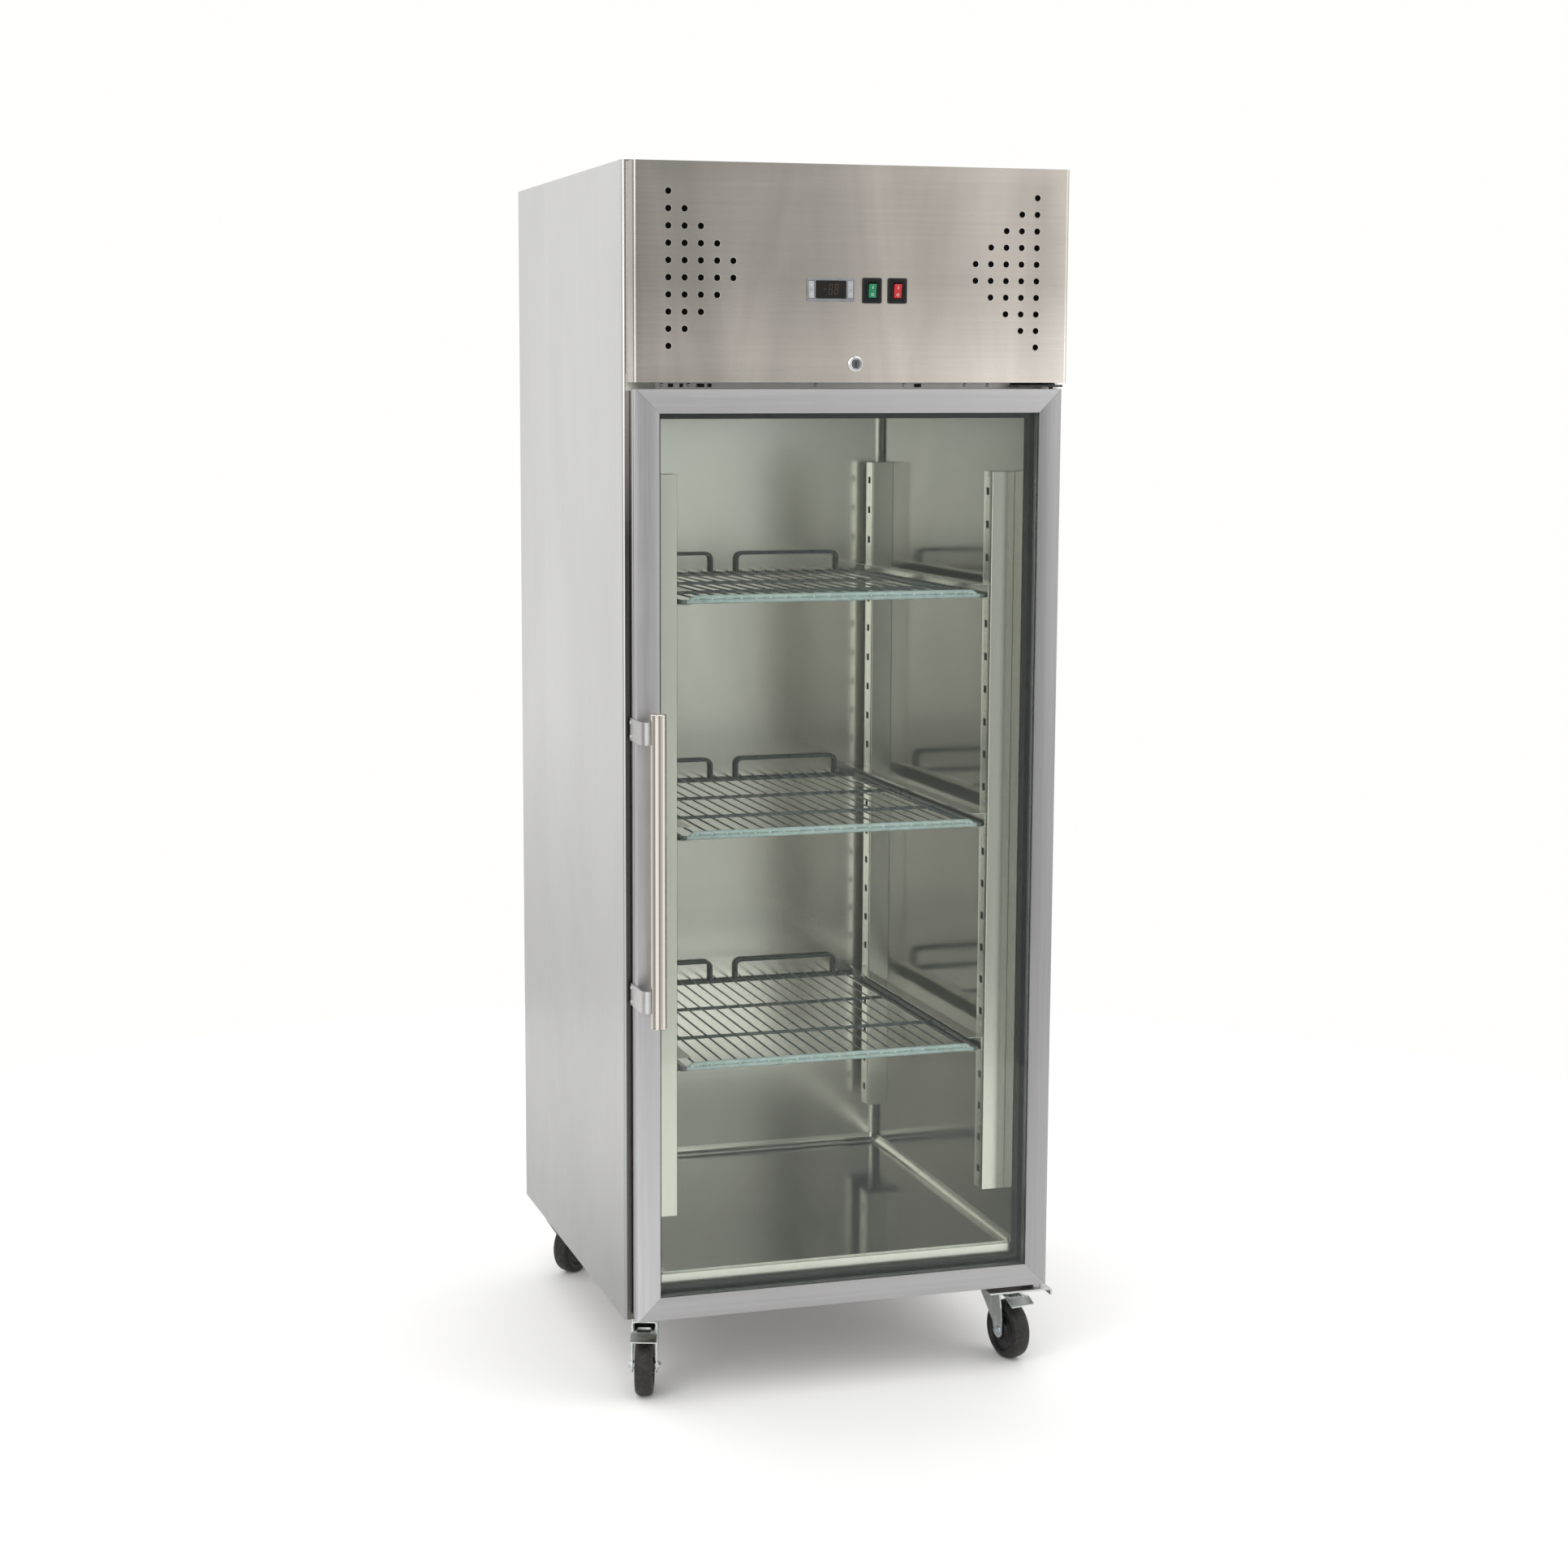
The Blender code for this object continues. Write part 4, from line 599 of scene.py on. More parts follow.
def build_skins():
    """The folded side panels, and the screws of the back and the base."""
    for hand, side in SIDES.items():
        middle = HALF - SHEET / 2
        path = [
            (side * (HALF - 0.035), FRONT + SHEET / 2),
            (side * middle, FRONT + SHEET / 2),
            (side * middle, BACK - SHEET / 2),
            (side * (HALF - 0.02), BACK - SHEET / 2),
        ]
        bm = made(prism, sheet_section(path, SHEET, [0, 0.0055, 0.002, 0], 8), BODY_BOTTOM, HEIGHT)
        skin = piece(f"side_skin_{hand}", bm, "side", replaces=[f"side_panel_{hand}"], bevel=0.0003)
        # The front-facing return strip takes the dark return finish: painted shade of the gap beside the door.
        skin.data.materials.append(M["return"])
        for face in skin.data.polygons:
            if face.normal.y < -0.93 and face.center.y < FRONT + SHEET:
                face.material_index = 1
    half = HALF - 0.0203
    bm = made(block, (-half, half), (BACK - SHEET, BACK), (BODY_BOTTOM, DECK_TOP))
    heads = bmesh.new()
    sinks = bmesh.new()
    spots = [*product((-0.34, 0.34), (0.165, 0.54, 0.91, 1.29, 1.66)), *product((-0.12, 0.12), (0.165, 1.66))]
    for x, z in spots:
        lathe(sinks, mm((0, -0.8), (4.2, -0.8), (5.4, 1), (0, 1)), (x, BACK, z), "Y", 20)
        screw_head(heads, (x, BACK - 0.0022, z), "Y", 0.0036, 1)
    piece("back_sheet", carve(bm, sinks), "body", replaces=["back_panel"], bevel=0.0002)
    piece("back_screws", heads, "bolt", limit=30)
    bm = bmesh.new()
    for (x, y, _), dx, dy in product(CASTERS.values(), (-0.033, 0.033), (-0.035, 0.035)):
        hex_head(bm, (x + dx, y + dy, BODY_BOTTOM - 0.004), "Z", 0.0052, 0.0045, -1)
    piece("caster_plate_bolts", bm, "bolt", limit=30)
    bm = bmesh.new()
    for x in (-0.306, -0.262, -0.05, 0.1, 0.205, 0.245):
        screw_head(bm, (x, FRONT, 1.6635), "Y", 0.003, -1)
    piece("rail_screws", bm, "bolt", limit=30)
    bm = made(block, (-0.364, -0.316), (FRONT - 0.0014, FRONT - 0.0002), (1.654, 1.68))
    piece("corner_plate", bm, "breaker", bevel=0.0004)
    bm = bmesh.new()
    for x0, x1 in ((-0.295, -0.287), (-0.276, -0.271), (-0.248, -0.236), (-0.23, -0.224), (0.118, 0.129)):
        clip = rectangle(((x0 + x1) / 2, 1.6625), (x1 - x0, 0.0055), 0.0008, 3)
        prism(bm, clip, FRONT - 0.0022, FRONT + 0.0002, "Y")
    piece("rail_clips", bm, "black_plastic", bevel=0.0003)
    inside = HALF - SHEET - 0.0003
    deep = (FRONT + 0.0045, BACK - SHEET - 0.0003)
    bm = made(block, (-inside, inside), deep, (BODY_BOTTOM, BODY_BOTTOM + SHEET))
    piece("base_sheet", bm, "body", replaces=["base_panel"], bevel=0.0003, segments=1)
    bm = bmesh.new()
    for x, y, _ in CASTERS.values():
        outline = rectangle((x, y), (0.084, 0.088), 0.008)
        prism(bm, outline, BODY_BOTTOM - 0.004, BODY_BOTTOM + 0.0005)
    piece("caster_plates", bm, "zinc", bevel=0.0005)
    keep("body", "machine_deck", "fascia_rail")
    keep("foam", "insulation_foam")


def room_outline(inset, front, steps=10):
    """The cold room's plan, open at the front, shrunk by an inset."""
    half, back, r = ROOM_HALF - inset, ROOM_BACK - inset, ROOM_CORNER - inset
    right = arc((half - r, back - r), r, 0, 90, steps)
    left = arc((r - half, back - r), r, 90, 180, steps)
    return [(half, front), *right, *left, (-half, front)]


def build_room():
    """The cold room's lining with its coved floor edge, breaker strip, fan opening and guard."""
    shell = made(prism, room_outline(-SHEET, FRONT + SHEET / 2), ROOM_FLOOR - SHEET, ROOM_CEILING + SHEET)
    flange = bmesh.new()
    half = HALF - 0.0353
    block(flange, (-half, half), (FRONT, FRONT + SHEET), (BODY_BOTTOM, RAIL_BOTTOM - 0.0003))
    shell = carve(shell, flange, operation="UNION")
    room = made(prism, room_outline(0, FRONT - 0.01), ROOM_FLOOR, ROOM_CEILING)
    through = (ROOM_CEILING - 0.01, ROOM_CEILING + 0.01)
    fan_hole = made(prism, circle(EVAPORATOR_FAN[:2], 0.082, 48), *through)
    return_slot = made(prism, rectangle((0, 0.077), (0.3, 0.02), 0.008), *through)
    shell = carve(shell, room, fan_hole, return_slot)
    lining = piece("room_lining", shell, "liner", replaces=["inner_liner"])
    # The side walls take a much darker copy of the lining's finish: painted shade.
    for finish in ("floor_liner", "liner_side_painted_shade", "corner"):
        lining.data.materials.append(M[finish])
    for face in lining.data.polygons:
        across = abs(face.normal.x)
        if face.normal.z > 0.9 and face.center.z < ROOM_FLOOR + 0.001 and face.center.y > FRONT + 0.01:
            face.material_index = 1
        elif across > 0.1 and abs(face.normal.z) < 0.1:
            face.material_index = 2 if across > 0.99 else 3

    section = mm(
        (0.2, 0.2), (13, 0.2), (12.8, 1.4), (10.4, 1.9), (8, 2.9), (5.8, 4.5), (4, 6.6), (2.8, 9),
        (2.1, 11.4), (1.5, 13.8), (0.2, 14),
    )
    offsets = [room_outline(d, FRONT + 0.004, 8) for d, _ in section]
    rings = [
        [(line[k][0], line[k][1], ROOM_FLOOR + h) for line, (_, h) in zip(offsets, section)]
        for k in range(len(offsets[0]))
    ]
    bm = made(loft, rings)
    piece("floor_cove", bm, "pilaster", limit=40)

    near, far = FRONT + 0.0015, FRONT + 0.009
    strip = [(near, 0.2142), (far, 0.2142), (far, 0.2158), (near, 0.219)]
    bm = made(prism, fillet(strip, [0, 0, 0.0008, 0.0015], 5, True), -0.305, 0.305, "X")
    piece("threshold_strip", bm, "breaker", limit=40)

    bm = bmesh.new()
    x, y, _ = EVAPORATOR_FAN
    level = ROOM_CEILING - 0.006
    for radius in (0.022, 0.04, 0.058, 0.076, 0.09):
        wire_ring(bm, (x, y, level), radius, 0.0011, "Z", 48)
    for c, s in spokes(4, 45):
        bend = ((0.006, level - 0.002), (0.094, level - 0.002), (0.1, ROOM_CEILING))
        tube(bm, [(x + r * c, y + r * s, h) for r, h in bend], 0.0014, 8, 0.003)
        screw_head(bm, (x + 0.104 * c, y + 0.104 * s, ROOM_CEILING), "Z", 0.0035, -1)
    piece("evaporator_guard", bm, "chrome", limit=40)


def build_racking():
    """The slotted pilasters, the runners hooked into them and the coated wire shelves."""
    for end, y0 in PILASTER_Y.items():
        y1 = y0 + 0.037
        for hand, side in SIDES.items():
            wall, face = side * (ROOM_HALF - 0.0003), side * (ROOM_HALF - 0.04 + SHEET / 2)
            near, far = y0 + SHEET / 2, y1 - SHEET / 2
            path = [(wall, near), (face, near), (face, far), (wall, far)]
            bm = made(prism, sheet_section(path, SHEET, 0.0016, 5), *PILASTER_Z)
            slots = bmesh.new()
            for i in range(22):
                z = PILASTER_Z[1] - 0.033 - 0.055 * i
                hole = rectangle(((y0 + y1) / 2, z), (0.012, 0.012), 0.0012, 3)
                prism(slots, hole, *sorted((face - side * 0.003, face + side * 0.003)), "X")
            post = f"{end}_{hand}"
            piece(f"rack_post_{post}", carve(bm, slots), "pilaster", replaces=[f"pilaster_{post}"],
                  bevel=0.0002, segments=1)
            # A black strip inside each post's channel: painted shade seen through the slots.
            bm = bmesh.new()
            behind = sorted((face + side * 0.0045, face + side * 0.0065))
            block(bm, behind, (y0 + 0.0016, y1 - 0.0016), (PILASTER_Z[0] + 0.002, PILASTER_Z[1] - 0.002))
            piece(f"post_shade_{post}", bm, "seal", bevel=0.0003)
    for level, z in SHELVES.items():
        for hand, side in SIDES.items():
            outer, tall = side * (0.2697 - SHEET / 2), 0.012 - SHEET / 2
            inner = side * (0.2697 - 0.025)
            path = [(inner, z - tall), (outer, z - tall), (outer, z + tall), (inner, z + tall)]
            bm = made(prism, sheet_section(path, SHEET, 0.0016, 5), -0.277, 0.33, "Y")
            tube(bm, [(a, -0.2775, b) for a, b in fillet(path, 0.0016, 5)], 0.0012, 10)
            for y0 in PILASTER_Y.values():
                middle = y0 + 0.0185
                hook = sorted((outer, side * 0.2745))
                block(bm, hook, (middle - 0.004, middle + 0.004), (z - 0.004, z + 0.004))
            runner = f"runner_{level}_{hand}"
            piece(f"shelf_{runner}", bm, "runner", replaces=[runner], bevel=0.0002, segments=1)
        build_shelf(level, z)


def build_shelf(level, z):
    """A wire shelf: its frame, wires and stops, its front rim in a lighter copy of the coating (painted light)
    and the wires' tips in a pale finish (painted highlights).
    """
    low, high = z - 0.007, z + 0.0002
    front, back = -0.28, 0.3505
    body = f"{level}_shelf"
    bm = bmesh.new()
    corners = [(-0.2605, front, low), (0.2605, front, low), (0.2605, back, low), (-0.2605, back, low)]
    tube(bm, corners, 0.0035, 14, 0.0055, True, steps=5)
    dip = low + 0.0025
    line = [(-0.2465, front, dip), (-0.239, front, high), (0.239, front, high), (0.2465, front, dip)]
    rim = made(tube, line, 0.0034, 14, 0.005)
    rod(rim, (-0.2535, front, low), (0.2535, front, low), 0.00355, 14, 0.2)
    block(rim, (-0.2375, 0.2375), (front - 0.0008, front + 0.0008), (low + 0.001, high - 0.001))
    # The front rim takes a lighter copy of the shelf's coating: painted light.
    piece(f"wire_rim_{level}", rim, "coated_front_painted_light", body, limit=50)
    for part in (1 / 3, 2 / 3):
        y = front + (back - front) * part
        rod(bm, (-0.26, y, low - 0.0006), (0.26, y, low - 0.0006), 0.0029, 12)
    tips = bmesh.new()
    for i in range(20):
        x = -0.235 + 0.47 * i / 19
        wire = low + 0.0047
        rod(bm, (x, front - 0.001, wire), (x, back + 0.0022, wire), 0.0015, 8)
        lathe(tips, mm((2.1, 2.4), (2.1, 0.6), (1.3, -0.3), (0, -0.6)), (x, front - 0.0032, wire), "Y", 12)
    roof = z + 0.0345 - 0.0032
    for side in (-1, 1):
        x0, x1 = side * 0.1225 - 0.0978, side * 0.1225 + 0.0978
        stop = [(x0, back, low), (x0, back, roof), (x1, back, roof), (x1, back, low)]
        tube(bm, stop, 0.0032, 12, 0.011, steps=7)
    stood_for = [f"shelf_{level}", f"shelf_stops_{level}"]
    piece(f"wire_shelf_{level}", bm, "coated", body, replaces=stood_for, limit=50)
    # The tips take a pale finish: painted highlights on the wires' ends.
    piece(f"wire_tips_{level}", tips, "tips", body, limit=60)


# ---------------------------------------------------------------- door


def mitred(bm, where, section, setback=0.00015):
    """A section of (distance in from the door's edge, y) points run along one side, cut at 45 degrees."""
    rings = []
    for end in (0, 1):
        ring = []
        for inset, y in section:
            along = inset + setback
            if where in SIDES:
                x = SIDES[where] * (DOOR_HALF - inset)
                z = DOOR_Z[0] + along if end == 0 else DOOR_Z[1] - along
            else:
                x = along - DOOR_HALF if end == 0 else DOOR_HALF - along
                z = DOOR_Z[0] + inset if where == "bottom" else DOOR_Z[1] - inset
            ring.append((x, y, z))
        rings.append(ring)
    loft(bm, rings)


def door_ring(bm, section):
    """The same section run right round the door, with no gaps at the corners."""
    rings = []
    for sx, sz in ((-1, 0), (1, 0), (1, 1), (-1, 1)):
        inward = -1 if sz else 1
        rings.append([(sx * (DOOR_HALF - inset), y, DOOR_Z[sz] + inward * inset) for inset, y in section])
    loft(bm, rings, True, False, True)


def build_door():
    """The door: frame, glazing, gasket and handle, with the hinge plates that carry it."""
    front, back = DOOR_Y
    groove = 0.0009
    section = fillet(
        [
            (0, front), (0.038, front), (0.038, front + 0.0028), (0.026, front + 0.0028),
            (0.026, back), (0, back),
            (0, front + 0.0235), (groove, front + 0.023), (groove, front + 0.0215), (0, front + 0.021),
            (0, front + 0.0115), (groove, front + 0.011), (groove, front + 0.0095), (0, front + 0.009),
        ],
        [0.0012, 0.0007, 0, 0, 0, 0.0008] + [0.0002] * 8,
        3,
        True,
    )
    for where, name, finish in (
        ("left", "door_stile_left", "frame_v"),
        ("right", "door_stile_right", "frame_v"),
        ("top", "door_rail_top", "frame_h"),
        ("bottom", "door_rail_bottom", "frame_h"),
    ):
        bm = made(mitred, where, section)
        piece(f"frame_{where}", bm, finish, "door", replaces=[name], limit=25)
    keep("glass", "glass_outer", "glass_inner")
    keep("spacer", "glazing_spacer")
    seal = mm(
        (15, -329.7), (26.5, -329.7), (26.5, -337.9), (44, -337.9), (46.2, -336.8), (47, -334.5),
        (45.8, -331.8), (46.6, -329.6), (47, -326.2), (45.2, -323.2), (41, -322.4), (38, -323.6),
        (33, -323.6), (30, -322.4), (24, -322.4), (21.5, -323.6), (17, -323.6), (14, -326.2),
    )
    bm = made(door_ring, seal)
    piece("gasket_bellows", bm, "seal", "door", replaces=["door_gasket"], limit=45)
    bm = made(door_ring, mm((26.6, -342.6), (27.2, -342.6), (27.2, -354.6), (26.6, -354.6)))
    piece("edge_sealant", bm, "seal", "door", limit=45)

    x, y, r = HANDLE
    low, high = 0.648, 1.152
    profile = [
        (0, low + 0.0006), (0.0092, low + 0.0006), (0.0104, low), (r - 0.0009, low), (r, low + 0.0009),
        (r, low + 0.004), (r - 0.0003, low + 0.0043), (r, low + 0.0046), (r, high - 0.0046),
        (r - 0.0003, high - 0.0043), (r, high - 0.004), (r, high - 0.0009), (r - 0.0009, high),
        (0.0104, high), (0.0092, high - 0.0006), (0, high - 0.0006),
    ]
    bm = made(lathe, profile, (x, y, 0), "Z", 48)
    piece("handle_tube", bm, "handle", "door", replaces=["door_handle"], limit=25)
    for level, z in {"upper": 1.121, "lower": 0.691}.items():
        inner = -DOOR_HALF - 0.0003
        outer = inner - 0.003
        end = x - r - 0.0003
        reach = y - 0.0015
        bend = end - outer
        turn = (end, reach + bend)
        outline = [
            (inner, FRONT - 0.01), (outer, FRONT - 0.01),
            *arc(turn, bend, 180, 270, 14), *arc(turn, bend - 0.003, 270, 180, 14),
        ]
        bm = made(prism, outline, z - 0.018, z + 0.018)
        for dz in (-0.0115, 0.0115):
            screw_head(bm, (outer, FRONT - 0.0165, z + dz), "X", 0.0032, -1)
        piece(f"handle_strap_{level}", bm, "strap", "door", bevel=0.0005, limit=50)
    hx, hy = HINGE
    bm = made(hex_head, (-0.303, FRONT - 0.02, DOOR_Z[0]), "Z", 0.005, 0.0042, -1)
    piece("door_corner_bolt", bm, "bolt", "door", limit=30)

    bm = bmesh.new()
    path = [(FRONT - 0.039, 1.66175), (FRONT - 0.00205, 1.66175), (FRONT - 0.00205, 1.679)]
    prism(bm, sheet_section(path, 0.0035, [0, 0.0035, 0], 5), 0.284, 0.36, "X")
    rivet = mm((0, 1663.2), (6.8, 1663.2), (6.8, 1665.2), (5.5, 1666), (0, 1666))
    lathe(bm, rivet, (hx, hy, 0), "Z", 24)
    rod(bm, (hx, hy, DOOR_Z[1] - 0.0055), (hx, hy, 1.661), 0.0035, 16)
    for sx in (0.296, 0.316):
        hex_head(bm, (sx, FRONT - 0.0038, 1.6715), "Y", 0.0036, 0.003, -1)
    piece("hinge_plate_upper", bm, "black_metal", replaces=["hinge_bracket_upper"], bevel=0.0004, limit=50)
    top = BODY_BOTTOM - 0.0003
    path = [(0.256, top - 0.0015), (0.3675, top - 0.0015), (0.3675, top - 0.012)]
    bm = made(prism, sheet_section(path, 0.003, [0, 0.0026, 0], 5), FRONT - 0.043, FRONT + 0.02, "Y")
    lathe(bm, mm((0, -1), (7, -1), (7, 5.5), (6.2, 6.6), (0, 6.6)), (hx, hy, top), "Z", 28)
    for sx in (0.272, 0.3):
        hex_head(bm, (sx, FRONT + 0.008, top - 0.003), "Z", 0.0048, 0.004, -1)
    piece("hinge_plate_lower", bm, "strap", bevel=0.0004, limit=50)


# ---------------------------------------------------------------- fascia


def vent_centres():
    """The (x, z) of the fascia's holes, in columns that get shorter towards the middle."""
    for side in (-1, 1):
        for column in range(5):
            rows = 10 - 2 * column
            for row in range(rows):
                yield side * (0.3075 - 0.0263 * column), 1.8415 + 0.0263 * (row - (rows - 1) / 2)


def build_fascia():
    """The perforated fascia with its screws and filters, and what is set into it."""
    front, back = FASCIA_Y
    edge = FASCIA_HALF - SHEET / 2
    mid = front + SHEET / 2
    bm = bmesh.new()
    path = [(-edge, back), (-edge, mid), (edge, mid), (edge, back)]
    prism(bm, sheet_section(path, SHEET, [0, 0.0056, 0.0056, 0], 10), *FASCIA_Z)
    low, high = FASCIA_Z
    for zs, deep in (((high - SHEET, high - 0.0001), back), ((low + 0.0001, low + SHEET), front + 0.016)):
        block(bm, (0.0062 - FASCIA_HALF, FASCIA_HALF - 0.0062), (front + SHEET * 0.8, deep), zs)
    holes = bmesh.new()
    for x, z in vent_centres():
        prism(holes, circle((x, z), 0.005, 24), front - 0.004, front + 0.0055, "Y")
    panel = carve(bm, holes)
    holes = bmesh.new()
    through = (front - 0.005, front + 0.005)
    prism(holes, rectangle(CONTROLLER, (0.073, 0.0305)), *through, "Y")
    for x in SWITCHES.values():
        prism(holes, rectangle((x, SWITCH_Z), (0.026, 0.034)), *through, "Y")
    prism(holes, circle((0, LOCK_Z), 0.01, 24), *through, "Y")
    piece("fascia_sheet", carve(panel, holes), "fascia", "fascia", replaces=["fascia_panel"], bevel=0.00035,
          limit=50)
    bm = bmesh.new()
    for x, z in vent_centres():
        lathe(bm, mm((5, 0.05), (5, -0.2), (5.3, -0.28), (5.9, 0.02)), (x, front, z), "Y", 24, True)
    piece("vent_rims", bm, "fascia", "fascia", limit=60)
    bm = bmesh.new()
    for x in (-0.345, -0.19, 0.19, 0.345):
        screw_head(bm, (x, front + 0.03, FASCIA_Z[1] - 0.0001), "Z", 0.0034, 1)
    piece("fascia_screws", bm, "bolt", "fascia", limit=30)
    for hand, side in SIDES.items():
        bm = made(block, sorted((side * 0.18, side * 0.345)), (front + 0.0105, front + 0.0135), (1.69, 1.99))
        piece(f"vent_filter_{hand}", bm, "filter", "fascia", bevel=0.0008)
    build_controller(front)
    for colour, x in SWITCHES.items():
        build_switch(colour, x, front)
    build_lock(front)


def build_controller(front):
    """The digital controller: a bezel, a smoked window, two rocking key bars with plain signs."""
    x, z = CONTROLLER
    w, h = 0.0395, 0.01825
    layers = mm((0, -0.3), (0, -1.6), (-0.4, -2.2), (-1.2, -2.5))
    bm = made(slab, (x, z), (2 * w, 2 * h), 0.0022, 5, front, layers)
    prism(bm, rectangle((x, z), (2 * w - 0.007, 2 * h - 0.007), 0.001), front - 0.001, front + 0.03, "Y")
    tool = bmesh.new()
    for side in (-1, 1):
        pocket = rectangle((x + side * 0.0325, z), (0.0105, 0.028), 0.0008, 3)
        prism(tool, pocket, front - 0.0045, front + 0.0011, "Y")
    window = made(prism, rectangle((x, z), (0.0515, 0.0285), 0.0012, 3), front - 0.0045, front - 0.0019, "Y")
    piece("controller_bezel", carve(bm, tool, window), "grey_plastic", "fascia",
          replaces=["controller_housing"], bevel=0.0002, limit=50)
    bm = made(prism, rectangle((x, z), (0.0509, 0.0279), 0.0011, 4), front - 0.00215, front - 0.00185, "Y")
    piece("display_window", bm, "screen", "fascia", bevel=0.0001, limit=50)
    bm = bmesh.new()
    for index, shown in enumerate(("minus", "8", "8")):
        add_digit(bm, x - 0.004 + 0.0095 * index - 0.006, z + 0.0005, front - 0.0022, shown)
    piece("display_digits", bm, "segments", "fascia")
    for side, name in ((-1, "left"), (1, "right")):
        cx, cy = x + side * 0.0325, front - 0.0016
        layers = mm((0, 1), (0, -0.7), (-0.4, -1.2), (-0.9, -1.3))
        bm = made(slab, (cx, z), (0.0095, 0.027), 0.001, 4, cy, layers, 0.6)
        tool = made(block, (cx - 0.006, cx + 0.006), (cy - 0.002, cy - 0.0009), (z - 0.0002, z + 0.0002))
        for dz in (-0.0068, 0.0068):
            prism(tool, rectangle((cx, z + dz), (0.0072, 0.0098), 0.0012, 3), cy - 0.002, cy - 0.00115, "Y")
        piece(f"key_bar_{name}", carve(bm, tool), "key", f"{name}_keys", replaces=[f"key_strip_{name}"],
              bevel=0.00012, segments=1, limit=50)
        bm = made(add_key_signs, cx, cy - 0.00118, z, name)
        piece(f"key_signs_{name}", bm, "mark", f"{name}_keys", limit=60)


def add_digit(bm, x, z, y, shown):
    """A slanted seven-segment figure, all of its segments faint, or a minus sign."""
    w, top, t = 0.0028, 0.0094, 0.00055
    bars = {"g": ((-w, 0), (w, 0))}
    if shown != "minus":
        bars.update(
            a=((-w, top), (w, top)), d=((-w, -top), (w, -top)), b=((w, 0), (w, top)), c=((w, -top), (w, 0)),
            e=((-w, -top), (-w, 0)), f=((-w, 0), (-w, top)),
        )
    for (x0, z0), (x1, z1) in bars.values():
        a, b = Vector((x0, z0)) * 0.85, Vector((x1, z1)) * 0.85
        along = (b - a).normalized()
        a, b, side = a + along * t * 0.9, b - along * t * 0.9, Vector((-along.y, along.x)) * t * 0.6
        bar = [a - along * t * 0.5, a + side, b + side, b + along * t * 0.5, b - side, a - side]
        prism(bm, [(x + p.x + p.y * 0.12, z + p.y) for p in bar], y - 0.00003, y + 0.00005, "Y")


def add_key_signs(bm, x, y, z, name):
    """Plain signs: a snowflake and a lamp on the left, an up and a down arrow on the right."""
    deep = (y - 0.0001, y + 0.0001)

    def stroke(a, b, thick=0.00022):
        a, b = Vector(a), Vector(b)
        side = Vector((a.y - b.y, b.x - a.x)).normalized() * thick
        prism(bm, [(x + p.x, z + p.y) for p in (a - side, b - side, b + side, a + side)], *deep, "Y")

    arm, height = 0.002, 0.0068
    if name == "left":
        for c, s in spokes(6, 90)[:3]:
            stroke((-arm * c, height - arm * s), (arm * c, height + arm * s))
        rim = circle((0, -height), 0.0011, 12)
        for a, b in zip(rim, rim[1:] + rim[:1]):
            stroke(a, b, 0.00018)
        for c, s in spokes(6):
            stroke((0.0016 * c, 0.0016 * s - height), (0.0023 * c, 0.0023 * s - height))
    else:
        for dz, up in ((height, 1), (-height, -1)):
            stroke((-0.0018, dz - up * 0.0009), (0, dz + up * 0.0011))
            stroke((0, dz + up * 0.0011), (0.0018, dz - up * 0.0009))


def build_switch(colour, x, front):
    """A sealed rocker switch: a black frame with a rim, a boot's lip and a coloured rocker with I and O."""
    z = SWITCH_Z
    layers = mm((0, -0.3), (0, -2.2), (-0.6, -3.1), (-1.6, -3.5))
    bm = made(slab, (x, z), (0.032, 0.04), 0.003, 6, front, layers)
    prism(bm, rectangle((x, z), (0.025, 0.033)), front - 0.001, front + 0.024, "Y")
    well = made(prism, rectangle((x, z), (0.0225, 0.0305), 0.0035, 5), front - 0.006, front - 0.0024, "Y")
    opening = made(prism, rectangle((x, z), (0.0141, 0.0245)), front - 0.01, front + 0.012, "Y")
    piece(f"switch_frame_{colour}", carve(bm, well, opening), "black_plastic", "fascia",
          replaces=[f"switch_{colour}_housing"], bevel=0.0003, limit=50)
    bm = bmesh.new()
    rim = [(p[0], front - 0.0026, p[1]) for p in rectangle((x, z), (0.0185, 0.0275), 0.003, 5)]
    tube(bm, rim, 0.001, 8, loop=True)
    piece(f"switch_boot_{colour}", bm, "black_plastic", "fascia", limit=60)
    tall, wide, ridge, tilt = 0.01125, 0.00625, 0.003, math.radians(8)
    proud = ridge + tall * math.tan(tilt)
    outline = fillet(
        [(-ridge, 0), (-proud, tall), (0.0045, tall * 0.8), (0.007, 0), (0.0045, -tall * 0.8), (-proud, -tall)],
        [0.004] + [0.001] * 5, 5, True,
    )
    spin = Matrix.Translation((x, front - 0.0005, z)) @ Matrix.Rotation(tilt, 4, "X")
    bm = made(prism, outline, -wide, wide, "X")
    rocker, slot = f"{colour}_rocker", f"{colour}_plastic"
    piece(f"rocker_{colour}", bm, colour, rocker, replaces=[f"switch_{rocker}"], bevel=0.0005,
          turn=spin, limit=50)
    bm = bmesh.new()
    slope = math.tan(tilt)
    (a, low), (b, high) = [(-(ridge + h * slope), h) for h in (0.0032, 0.0078)]
    prism(bm, [(a, low), (b, high), (b - 0.0001, high), (a - 0.0001, low)], -0.0005, 0.0005, "X")
    ring = [(a, -(ridge - b * slope) - 0.00002, b) for a, b in circle((0, -0.0058), 0.0019, 20)]
    tube(bm, ring, 0.00035, 6, loop=True)
    piece(f"rocker_marks_{colour}", bm, "mark", rocker, turn=spin, limit=60)


